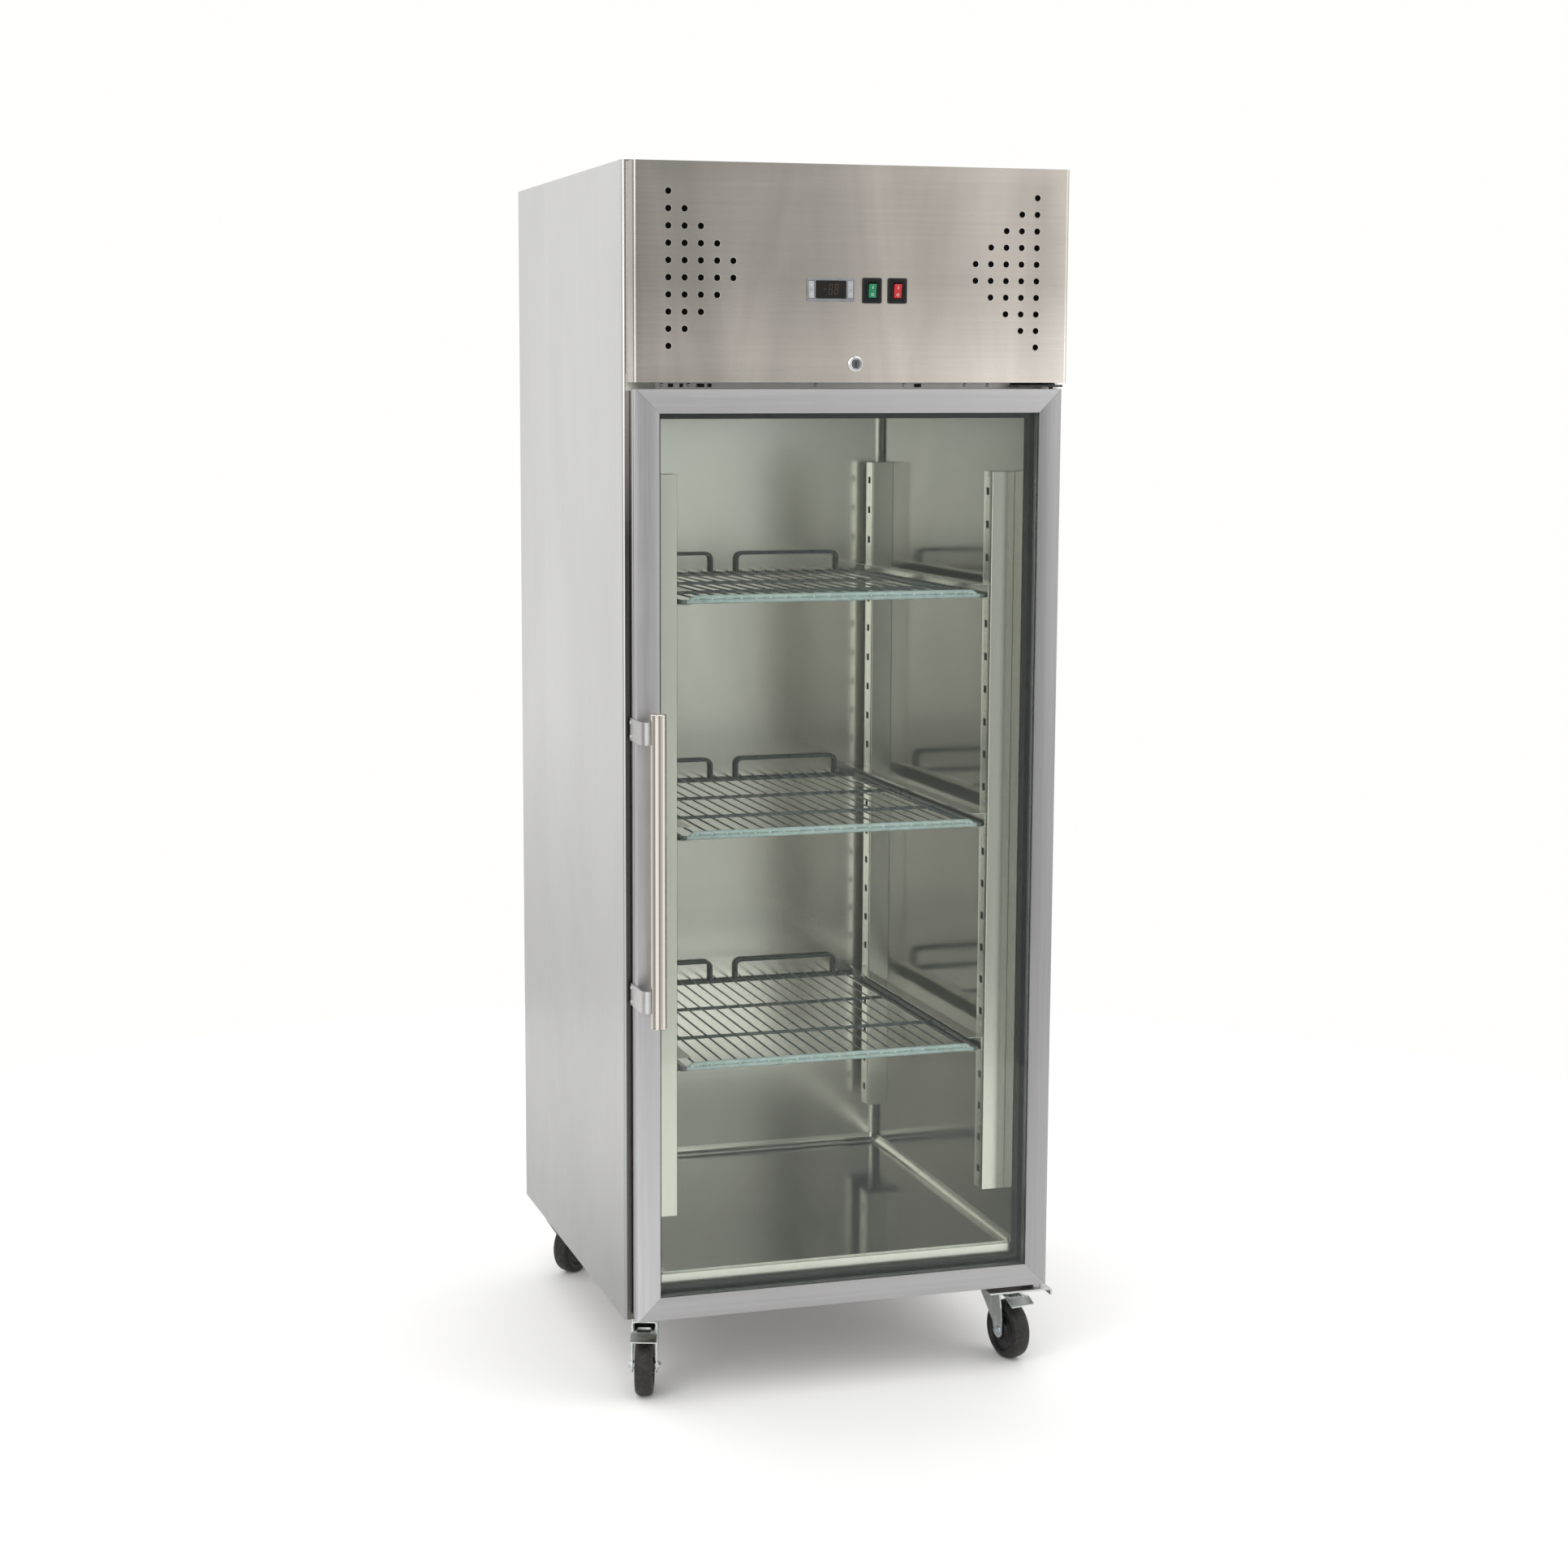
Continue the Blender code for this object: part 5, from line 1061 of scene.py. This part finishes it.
def build_lock(front):
    """The lock: a chrome collar and a keyed core with its cam."""
    profile = mm(
        (6.6, 20), (6.6, -2.2), (7.2, -3), (8.6, -3.5), (10.4, -3.4), (11.9, -2.4), (12.4, -1.2),
        (12.4, -0.3), (9.5, -0.3), (9.5, 20),
    )
    bm = made(lathe, profile, (0, front, LOCK_Z), "Y", 48, True)
    piece("lock_collar", bm, "chrome", "fascia", replaces=["lock_body"], limit=30)
    bm = made(lathe, mm((0, -3.6), (5.2, -3.6), (6, -2.8), (6, 27), (0, 27)), (0, front, LOCK_Z), "Y", 40)
    tool = bmesh.new()
    key = mm(
        (-1, -3.6), (1, -3.6), (1, -1.2), (0.6, -0.8), (0.6, 0.6), (1.1, 1), (1.1, 3.6), (-0.9, 3.6),
        (-0.9, 0.6), (-0.5, 0.2), (-0.5, -1), (-1, -1.4),
    )
    prism(tool, [(a, LOCK_Z + b) for a, b in key], front - 0.01, front + 0.004, "Y")
    core = carve(bm, tool)
    cam = [(x, LOCK_Z + z) for x, z in mm((-21.5, -4.5), (5, -5), (5, 5), (-21.5, 4.5))]
    prism(core, fillet(cam, 0.0015, 4, True), front + 0.024, front + 0.0262, "Y")
    piece("lock_core_keyed", core, "lock_face", "lock_core", replaces=["lock_cylinder"], bevel=0.0002,
          limit=45)


# ---------------------------------------------------------------- casters


def build_caster(spot, x, y, degrees):
    """One swivel caster in its own coordinates, its wheel towards +Y, then turned and set under the base."""
    turn = Matrix.Translation((x, y, 0)) @ Matrix.Rotation(math.radians(degrees), 4, "Z")
    axle = (0, TRAIL, WHEEL_RADIUS)
    path = mm((-20.4, 30), (-20.4, 124), (20.4, 124), (20.4, 30))
    channel = made(prism, sheet_section(path, 0.0028, 0.0055, 6), -0.03, 0.06, "Y")
    side_view = fillet(
        [
            (-0.024, 0.13), (-0.024, 0.11), (TRAIL - 0.016, 0.062), *arc(axle[1:], 0.013, 195, 345, 14),
            (TRAIL + 0.013, 0.076), (0.04, 0.113), (0.04, 0.13),
        ],
        [0, 0.012, 0.02] + [0] * 15 + [0.02, 0.012, 0],
        5,
        True,
    )
    fork = carve(channel, made(prism, side_view, -0.03, 0.03, "X"), operation="INTERSECT")
    body = f"fork_{spot}"
    piece(f"fork_pressing_{spot}", fork, "zinc", body, replaces=[f"caster_{body}"], bevel=0.0005, turn=turn,
          limit=50)
    profile = mm(
        (0, 138.7), (26.2, 138.7), (27.6, 137.7), (28, 135.8), (27, 134.3), (25.2, 133.6), (24.6, 132.7),
        (25.8, 131.7), (27.6, 130.6), (28, 128.8), (26.8, 127), (23.8, 125.8), (0, 125.8),
    )
    bm = made(lathe, profile, sides=48)
    lathe(bm, mm((0, 120.8), (5.2, 120.8), (7.8, 121.6), (8.6, 122.8), (0, 122.8)), sides=28)
    piece(f"swivel_race_{spot}", bm, "zinc", body, turn=turn, limit=30)
    bm = made(hex_head, (-0.0218, *axle[1:]), "X", 0.0062, 0.004, -1)
    hex_head(bm, (0.0218, *axle[1:]), "X", 0.0062, 0.0042, 1)
    lathe(bm, mm((0, 24.5), (3.3, 24.5), (3.7, 24.8), (3.7, 26.8), (3, 27.4), (0, 27.4)), axle, "X", 20)
    for side in (-1, 1):
        near, far = side * 0.0171, side * 0.019
        lathe(bm, [(0, near), (0.0068, near), (0.0068, far), (0, far)], axle, "X", 20)
    piece(f"axle_bolt_{spot}", bm, "bolt", body, turn=turn, limit=30)
    half = mm(
        (4.6, 17), (12.4, 17), (13.6, 16.4), (14.6, 12.6), (16.2, 11.2), (18.6, 11), (19.6, 11.9),
        (20.8, 11.9), (21.8, 11), (29.2, 10.6), (30.2, 11.4), (31.6, 11.4), (32.6, 10.6), (36, 10.8),
        (37.8, 14.2), (39.6, 15.3), (43, 15.2), (45.2, 14.6), (47.8, 12.8), (49.3, 9.6), (50, 5),
    )
    profile = half + [(r, -h) for r, h in half[::-1]]
    bm = made(lathe, profile, axle, "X", 96, True)
    wheel = f"wheel_{spot}"
    obj = piece(f"wheel_moulded_{spot}", bm, "wheel", wheel, replaces=[f"caster_{wheel}"], turn=turn,
                limit=45)
    obj.data.materials.append(M["tread"])
    centre = turn @ Vector(axle)
    for face in obj.data.polygons:
        if (face.center - centre).length > 0.0478:
            face.material_index = 1
    if spot.startswith("front"):
        build_pedal(spot, turn)


def build_pedal(spot, turn):
    """The pressed brake pedal: a bent plate with a stamped panel, cheeks round its pin and a lip."""
    seat = turn @ Matrix.Translation((0, 0.004, 0.117))
    path = mm((-4, 2.7), (33, -2.4), (61.8, -4.4), (78.2, -13.6))
    section = sheet_section(path, 0.0025, [0, 0.02, 0.006, 0], 6)
    bm = made(prism, section, -0.0222, 0.0222, "X")
    waist = bmesh.new()
    for side in (-1, 1):
        edge = [(side * x, y) for x, y in mm((17.4, -10), (17.4, 52), (22.2, 58), (30, 58), (30, -10))]
        prism(waist, fillet(edge, [0, 0.006, 0.003, 0, 0], 4, True), -0.03, 0.03)
    stamp = made(prism, rectangle((0, 0.0475), (0.023, 0.022), 0.0035, 5), -0.0012, 0.008)
    tilt = Matrix.Rotation(math.radians(-4.0), 4, "X")
    tilt = Matrix.Translation((0, 0.0475, -0.0029)) @ tilt @ Matrix.Translation((0, -0.0475, 0))
    bmesh.ops.transform(stamp, matrix=tilt, verts=stamp.verts)
    pressed = carve(bm, waist, stamp)
    for side in (-1, 1):
        cheek = fillet(mm((-5.2, -6), (-5.2, 3.4), (30, -1.2), (30, -5), (8, -10)), 0.003, 4, True)
        prism(pressed, cheek, side * 0.0152 - 0.001, side * 0.0152 + 0.001, "X")
    rod(pressed, (-0.0186, 0, 0), (0.0186, 0, 0), 0.0026, 14)
    name = f"brake_plate_{spot}"
    piece(name, pressed, "zinc", f"pedal_{spot}", replaces=[f"brake_pedal_{spot}"], bevel=0.0004, turn=seat,
          limit=50)


# ---------------------------------------------------------------- cooling unit


def finned_coil(name, x, y, z, pitch, rows, columns, pipe, replaces):
    """Thin fins on end plates, with copper hairpins through them whose bends stand out at both ends."""
    fins = bmesh.new()
    count = int((x[1] - x[0] - 0.004) / pitch)
    start = (x[0] + x[1] - pitch * (count - 1)) / 2
    for i in range(count):
        at = start + pitch * i
        block(fins, (at - 0.0002, at + 0.0002), (y[0] + 0.0015, y[1] - 0.0015), (z[0] + 0.002, z[1] - 0.002))
    piece(name, fins, "aluminium", replaces=replaces, limit=30)
    plates = bmesh.new()
    for at, side in ((x[0], 1), (x[1], -1)):
        inner, outer, near, far = at + side * 0.012, at + side * 0.0006, y[0] + 0.0006, y[1] - 0.0006
        path = [(inner, near), (outer, near), (outer, far), (inner, far)]
        prism(plates, sheet_section(path, SHEET, 0.0015, 4), *z)
    piece(f"{name}_end_plates", plates, "galvanised", bevel=0.0002, segments=1)
    pipes = bmesh.new()
    step_z, step_y = (z[1] - z[0]) / rows, (y[1] - y[0]) / columns
    for c in range(columns):
        at_y = y[0] + step_y * (c + 0.5)
        levels = [z[0] + step_z * (r + 0.5) for r in range(rows)]
        path = []
        for r, level in enumerate(levels):
            ends = (x[0] - 0.006, x[1] + 0.006)
            path += [(ends[r % 2], at_y, level), (ends[1 - r % 2], at_y, level)]
        tube(pipes, path, pipe, 10, step_z * 0.48, steps=6)
    piece(f"{name}_pipes", pipes, "copper", limit=60)


def fan(name, radius, blades, axis, centre, body, finish, replaces):
    """A fan with twisted, cambered blades on a rounded hub."""
    hub = 0.022
    lean = Matrix.Rotation(math.pi / 2, 4, "X") if axis == "Y" else Matrix.Identity(4)
    stand = Matrix.Translation(centre) @ lean
    bm = bmesh.new()
    for k in range(blades):
        rings = []
        for s in range(9):
            t = s / 8
            r = hub - 0.003 + (radius - hub + 0.003) * t
            chord = (0.018 + 0.034 * math.sin(math.pi * min(1, 0.18 + 0.62 * t))) * radius / 0.118
            if t >= 0.95:
                chord *= 0.86
            pitch = math.radians(30 - 12 * t)
            sweep = 0.16 * t * t
            upper, lower = [], []
            for q in range(9):
                u = q / 8 - 0.5
                camber = 0.004 * (1 - (2 * u) ** 2) * (radius / 0.118)
                thick = 0.0011 * (1 - (2 * u) ** 4) + 0.0001
                for line, h in ((upper, camber + thick / 2), (lower, camber - thick / 2)):
                    a = u * chord
                    v = a * math.cos(pitch) - h * math.sin(pitch)
                    w = a * math.sin(pitch) + h * math.cos(pitch)
                    spin = sweep + v / max(r, 0.02)
                    line.append((r * math.cos(spin), r * math.sin(spin), max(-0.0125, min(0.012, w))))
            ring = upper + lower[::-1]
            rings.append([Matrix.Rotation(2 * math.pi * k / blades, 3, "Z") @ Vector(p) for p in ring])
        loft(bm, rings)
    profile = mm(
        (4.5, -8.5), (18, -8.5), (21.2, -7), (22, -4), (22, 6.5), (20.8, 8.5), (11, 9), (9.5, 7.5),
        (4.5, 7.5),
    )
    lathe(bm, profile, sides=40, closed=True)
    for c, s in spokes(6):
        rod(bm, (0.0105 * c, 0.0105 * s, 0.0088), (0.019 * c, 0.019 * s, 0.0088), 0.0007, 6)
    piece(name, bm, finish, body, replaces=replaces, turn=stand, limit=40)


def build_condenser_unit():
    """The condenser with its shroud, motor, guard and fan."""
    x, y, z = CONDENSER
    finned_coil("condenser_fins", *CONDENSER, 0.0042, 8, 2, 0.0046, ["condenser_coil"])
    y0, y1 = y[1] + 0.0003, y[1] + 0.0403
    fx, _, fz = CONDENSER_FAN
    bm = made(block, x, (y0, y1), z)
    inner = made(block, (x[0] + SHEET, x[1] - SHEET), (y0 - 0.01, y1 - SHEET), (z[0] + SHEET, z[1] - SHEET))
    hole = made(prism, circle((fx, fz), 0.1236, 72), y0 - 0.01, y1 + 0.01, "Y")
    piece("fan_shroud", carve(bm, inner, hole), "black_metal", replaces=["condenser_fan_motor"], bevel=0.0008,
          limit=50)
    bm = bmesh.new()
    lathe(bm, mm((123.6, 0), (123.6, -20), (125, -24), (127.5, -26), (126.8, -23.5), (125, -20), (125, 0)),
          (fx, y1, fz), "Y", 72, True)
    piece("fan_inlet_ring", bm, "black_metal", limit=40)
    profile = mm(
        (0, 4), (12, 4), (13, 6), (30, 6), (34.5, 9), (36, 13), (36, 52), (34.5, 54), (34.5, 57.5),
        (36, 59), (34.5, 66), (30, 70), (12, 70), (0, 69),
    )
    bm = made(lathe, profile, (fx, y1, fz), "Y", 48)
    lathe(bm, mm((0, -19), (4, -19), (4, 6), (0, 6)), (fx, y1, fz), "Y", 20)
    for c, s in spokes(3, 90):
        path = [(fx + 0.03 * c, y1 + 0.012, fz + 0.03 * s), (fx + 0.06 * c, y1 + 0.01, fz + 0.06 * s),
                (fx + 0.128 * c, y1 + 0.0035, fz + 0.128 * s), (fx + 0.136 * c, y1 + 0.003, fz + 0.136 * s)]
        tube(bm, path, 0.0032, 10, 0.02)
        screw_head(bm, (fx + 0.131 * c, y1 + 0.005, fz + 0.131 * s), "Y", 0.004, 1)
    piece("fan_motor_body", bm, "black_metal")
    bm = bmesh.new()
    for k in range(7):
        wire_ring(bm, (fx, y1 + 0.002, fz), 0.046 + 0.0125 * k, 0.001, "Y", 56)
    for c, s in spokes(6, 30):
        start, end = [(fx + r * c, y1 + 0.0036, fz + r * s) for r in (0.038, 0.1285)]
        rod(bm, start, end, 0.0013, 8)
    piece("fan_guard", bm, "bolt", limit=60)
    fan("condenser_rotor", 0.1165, 5, "Y", CONDENSER_FAN, "condenser_fan", "aluminium",
        ["condenser_fan_blades"])


def build_compressor():
    """The compressor on its feet, its terminal cover, and the refrigerant pipes."""
    x, y, z = COMPRESSOR
    base = z + 0.012
    profile = mm(
        (0, 0), (48, 0), (64, 8), (72.5, 22), (75.5, 40), (76, 76), (78.5, 77.5), (79, 80), (78.5, 82.5),
        (76, 84), (75.5, 108), (72, 126), (62, 142), (45, 153), (22, 158), (0, 159),
    )
    bm = made(lathe, profile, (x, y, base), "Z", 72)
    piece("compressor_shell", bm, "black_metal", replaces=["compressor"], limit=40)
    bm = made(prism, rectangle((x, y), (0.17, 0.12), 0.014, 6), z + 0.0095, z + 0.0125)
    piece("compressor_foot", bm, "black_metal", bevel=0.0006)
    feet, bolts = bmesh.new(), bmesh.new()
    foot = mm((0, 0), (12.5, 0), (13, 1.5), (10.5, 4), (13, 6.2), (12.5, 9.4), (0, 9.4))
    for spot in product((x - 0.071, x + 0.071), (y - 0.047, y + 0.047)):
        lathe(feet, foot, (*spot, z), "Z", 24)
        hex_head(bolts, (*spot, z + 0.0125), "Z", 0.0052, 0.0042)
    piece("compressor_feet", feet, "seal", limit=40)
    piece("compressor_bolts", bolts, "bolt", limit=30)
    bm = made(block, (x + 0.06, x + 0.112), (y - 0.03, y + 0.03), (base + 0.038, base + 0.104))
    piece("terminal_cover", bm, "black_plastic", bevel=0.006, segments=4)
    top, roof = base + 0.116, 1.955
    discharge = [
        (x - 0.052, y - 0.044, top), (x - 0.07, y - 0.062, top), (x - 0.07, y - 0.062, roof),
        (0.034, y - 0.062, roof), (0.034, -0.251, roof), (0.024, -0.251, roof),
    ]
    pipes = made(tube, discharge, 0.0036, 12, 0.018, steps=7)
    tube(pipes, mm((24, -278.5, 1707.5), (50, -278.5, 1707.5), (50, -230, 1707.5), (50, -230, 1735)),
         0.0036, 12, 0.01, steps=6)
    drier = mm(
        (0, 0), (3.8, 0), (4.5, 8), (9.5, 16), (10, 20), (10, 90), (9.5, 94), (4, 102), (3, 110), (0, 110),
    )
    lathe(pipes, drier, (0.05, -0.23, 1.733), "Z", 28)
    loops, turns, steps, coil = [], 3, 24, 0.026
    for k in range(turns * steps + 1):
        t = 2 * math.pi * k / steps
        loops.append((0.082 + coil * math.cos(t), -0.006 + coil * math.sin(t), 1.772 + 0.0042 * k / steps))
    thin = mm((50, -230, 1842), (50, -230, 1868), (108, -200, 1868), (108, -40, 1868), (108, -6, 1790))
    tube(pipes, fillet(thin, 0.012, 6) + loops + [(0.108, 0.012, 1.786), (0.104, 0.04, 1.79)], 0.0013, 8)
    rod(pipes, (x - 0.01, y - 0.072, base + 0.122), (x - 0.01, y - 0.104, base + 0.122), 0.0032, 12)
    piece("refrigerant_pipes", pipes, "copper", limit=60)
    start, level = x - 0.02, 1.842
    suction = [
        (start, y + 0.066, base + 0.12), (start, y + 0.105, base + 0.12), (start, y + 0.105, level),
        (start, 0.1, level), (0.15, 0.1, level), (0.15, 0.1, 1.872),
    ]
    bm = made(tube, suction, 0.0105, 18, 0.024, steps=8)
    piece("suction_insulation", bm, "insulation", limit=60)


def build_evaporator():
    """The coil in its chamber, the fan under it, and the sheet-metal cover round the chamber on the deck."""
    finned_coil("evaporator_fins", *EVAPORATOR, 0.006, 3, 6, 0.0046, ["evaporator_coil"])
    profile = mm(
        (0, 1757), (24, 1757), (30, 1752), (30, 1700), (26, 1692), (10, 1690), (4, 1688), (4, 1654), (0, 1654),
    )
    bm = made(lathe, profile, (*EVAPORATOR_FAN[:2], 0), "Z", 36)
    piece("evaporator_motor", bm, "black_metal")
    fan("evaporator_rotor", 0.0765, 5, "Z", EVAPORATOR_FAN, "evaporator_fan", "black_plastic",
        ["evaporator_fan_blades"])
    bm = made(block, (-0.2012, 0.2012), (0.0368, 0.3392), (DECK_TOP + 0.0002, 1.8712))
    inner = made(block, (-0.2002, 0.2002), (0.0378, 0.3382), (DECK_TOP - 0.01, 1.8702))
    piece("chamber_cover", carve(bm, inner), "galvanised", bevel=0.0008, limit=50)
    bm = bmesh.new()
    top = DECK_TOP + 0.0014
    for sx in (-1, 1):
        block(bm, sorted((sx * 0.2012, sx * 0.216)), (0.0368, 0.3392), (DECK_TOP + 0.0002, top))
    for y_range in ((0.022, 0.0368), (0.3392, 0.354)):
        block(bm, (-0.216, 0.216), y_range, (DECK_TOP + 0.0002, top))
    ends = product((-0.16, 0.0, 0.16), (0.0294, 0.3466))
    sides = ((sx, sy) for sy in (0.09, 0.19, 0.29) for sx in (-0.2086, 0.2086))
    for spot in (*ends, *sides):
        screw_head(bm, (*spot, top), "Z", 0.0036)
    piece("chamber_flange", bm, "galvanised", bevel=0.0002, segments=1, limit=50)


def build_electrics():
    """A control box on the deck, its cable to the gland, and the fascia's hinge knuckles."""
    bm = made(block, (-0.335, -0.245), (0.06, 0.19), (DECK_TOP + 0.0002, DECK_TOP + 0.062))
    piece("control_box", bm, "grey_plastic", bevel=0.004, segments=4)
    bm = made(block, (-0.3375, -0.2425), (0.0575, 0.1925), (DECK_TOP + 0.062, DECK_TOP + 0.07))
    piece("control_box_lid", bm, "grey_plastic", bevel=0.003, segments=3)
    bm = bmesh.new()
    for spot in product((-0.3295, -0.2505), (0.0655, 0.1845)):
        screw_head(bm, (*spot, DECK_TOP + 0.07), "Z", 0.0035)
    piece("control_box_screws", bm, "bolt", limit=30)
    level, exit_z, entry_z = DECK_TOP + 0.0045, DECK_TOP + 0.02, DECK_TOP + 0.025
    to_gland = [
        (-0.29, 0.189, exit_z), (-0.29, 0.215, exit_z), (-0.29, 0.23, level), (-0.29, 0.38, level),
        (0.29, 0.38, level), (0.29, 0.345, level), (0.29, 0.328, 1.7), (0.29, 0.328, 1.7062),
    ]
    to_fan = [
        (-0.25, 0.06, entry_z), (-0.25, 0.04, entry_z), (-0.25, -0.02, level), (-0.19, -0.075, level),
        (-0.14, -0.1, 1.7), (-0.14, -0.13, 1.79),
    ]
    to_fascia = [
        (-0.32, 0.06, entry_z), (-0.32, 0.03, entry_z), (-0.343, -0.02, level + 0.004),
        (-0.343, -0.3, level + 0.004), (-0.343, -0.3, 1.96), (-0.32, -0.305, 1.975),
    ]
    bm = made(tube, to_gland, 0.0042, 12, 0.012, steps=6)
    tube(bm, to_fan, 0.0032, 10, 0.018, steps=6)
    tube(bm, to_fascia, 0.004, 12, 0.014, steps=6)
    piece("wiring", bm, "black_plastic", limit=60)
    nut = mm((4.4, 23.5), (9.8, 23.5), (12.2, 20), (12.8, 13), (11.2, 12.6), (11.2, 22.2), (4.4, 22.2))
    bm = made(lathe, nut, (0.29, 0.328, DECK_TOP), "Z", 32, True)
    piece("gland_nut", bm, "black_plastic", limit=40)
    moving, fixed = bmesh.new(), bmesh.new()
    axis_y, axis_z = FASCIA_Y[1], 2.0062
    for at in (-0.27, 0.27):
        for k in range(5):
            lo = at - 0.03 + 0.012 * k
            target = moving if k % 2 == 0 else fixed
            tube(target, [(lo + 0.0003, axis_y, axis_z), (lo + 0.0117, axis_y, axis_z)], 0.0032, 16)
        block(moving, (at - 0.03, at + 0.03), (axis_y - 0.018, axis_y - 0.002), (2.006, 2.007))
        block(fixed, (at - 0.03, at + 0.03), (axis_y + 0.002, axis_y + 0.022), (2.0062, 2.0072))
        for dx in (-0.018, 0.018):
            screw_head(moving, (at + dx, axis_y - 0.011, 2.007), "Z", 0.003, 1)
            screw_head(fixed, (at + dx, axis_y + 0.013, 2.0072), "Z", 0.003, 1)
    piece("fascia_hinge_leaves", moving, "strap", "fascia", limit=40)
    piece("rail_hinge_leaves", fixed, "strap", limit=40)


# ---------------------------------------------------------------- room, lights and camera


def build_stage():
    """A plain pale floor, soft light all round, and the camera at the photograph's angle."""
    floor = new_object("studio_floor", made(lathe, mm((0, -20), (2580, -20), (2600, 0), (0, 0)), sides=96))
    paint = Finish("studio_floor", 0.85)
    shade = paint.noise((3, 3, 3), 3)
    paint.colour(paint.blend(paint.span(shade, 0, 1), (0.89, 0.89, 0.89), (0.91, 0.91, 0.91)))
    floor.data.materials.append(paint.mat)

    world = bpy.data.worlds.new("studio")
    world.use_nodes = True
    bpy.context.scene.world = world
    tree = world.node_tree
    coords = tree.nodes.new("ShaderNodeTexCoord")
    split = tree.nodes.new("ShaderNodeSeparateXYZ")
    tree.links.new(coords.outputs["Generated"], split.inputs[0])

    def maths(kind, a, b=0.0):
        node = tree.nodes.new("ShaderNodeMath")
        node.operation = kind
        for socket, value in zip(node.inputs, (a, b)):
            if isinstance(value, float):
                socket.default_value = value
            else:
                tree.links.new(value, socket)
        return node.outputs[0]

    # The soft light round the object: bright panels at both sides of the camera and dark gaps between them.
    east, north, up = split.outputs
    angle = maths("DIVIDE", maths("DEGREES", maths("ARCTAN2", east, maths("MULTIPLY", north, -1.0))), 360.0)
    panels = tree.nodes.new("ShaderNodeValToRGB")
    panels.color_ramp.interpolation = "EASE"
    stops = [
        (-180, 1.05), (-120, 1.05), (-95, 0.5), (-68, 0.5), (-56, 1.55), (-20, 1.45), (-9, 0.5), (11, 0.5),
        (22, 0.92), (46, 0.88), (56, 1.5), (80, 1.5), (96, 0.55), (125, 0.95), (180, 1.05),
    ]
    marks = panels.color_ramp.elements
    while len(marks) < len(stops):
        marks.new(0.5)
    for mark, (degrees, strength) in zip(marks, stops):
        mark.position = degrees / 360 + 0.5
        mark.color = (strength / 2,) * 3 + (1,)
    tree.links.new(maths("ADD", angle, 0.5), panels.inputs[0])
    overhead = tree.nodes.new("ShaderNodeMapRange")
    overhead.interpolation_type = "SMOOTHSTEP"
    for socket, number in zip(list(overhead.inputs)[1:5], (0.15, 0.9, 1.6, 3.1)):
        socket.default_value = number
    tree.links.new(up, overhead.inputs[0])
    seen = tree.nodes.new("ShaderNodeLightPath")
    back = tree.nodes["Background"]
    back.inputs[0].default_value = (1.0, 0.995, 0.985, 1)
    around = maths("MULTIPLY", panels.outputs[0], overhead.outputs[0])
    tree.links.new(maths("MAXIMUM", around, seen.outputs["Is Camera Ray"]), back.inputs[1])

    def softbox(name, place_at, aim, size, power):
        lamp = bpy.data.lights.new(name, "AREA")
        lamp.shape = "RECTANGLE"
        lamp.size, lamp.size_y = size
        lamp.energy = power
        obj = bpy.data.objects.new(name, lamp)
        obj.location = place_at
        obj.rotation_euler = (Vector(aim) - Vector(place_at)).to_track_quat("-Z", "Y").to_euler()
        obj.visible_camera = False
        bpy.context.collection.objects.link(obj)

    softbox("key_softbox", (-3.2, -2.6, 3.0), (0, 0, 1.1), (1.6, 2.6), 30)
    softbox("right_softbox", (3.4, -4.0, 2.0), (0, 0, 1.2), (1.2, 2.4), 10)

    lens = bpy.data.cameras.new("camera")
    lens.lens = 62.8
    lens.shift_x, lens.shift_y = 0.06, -0.015
    lens.clip_start, lens.clip_end = 0.1, 60
    camera = bpy.data.objects.new("camera", lens)
    camera.location = (-1.461, -4.508, 1.656)
    camera.rotation_euler = (math.pi / 2 - 0.1348, 0, -0.2796)
    bpy.context.collection.objects.link(camera)
    bpy.context.scene.camera = camera
    bpy.context.scene.view_settings.view_transform = "Standard"


build_skins()
build_room()
build_racking()
build_door()
build_fascia()
for spot, (x, y, degrees) in CASTERS.items():
    build_caster(spot, x, y, degrees)
build_condenser_unit()
build_compressor()
build_evaporator()
build_electrics()
build_stage()
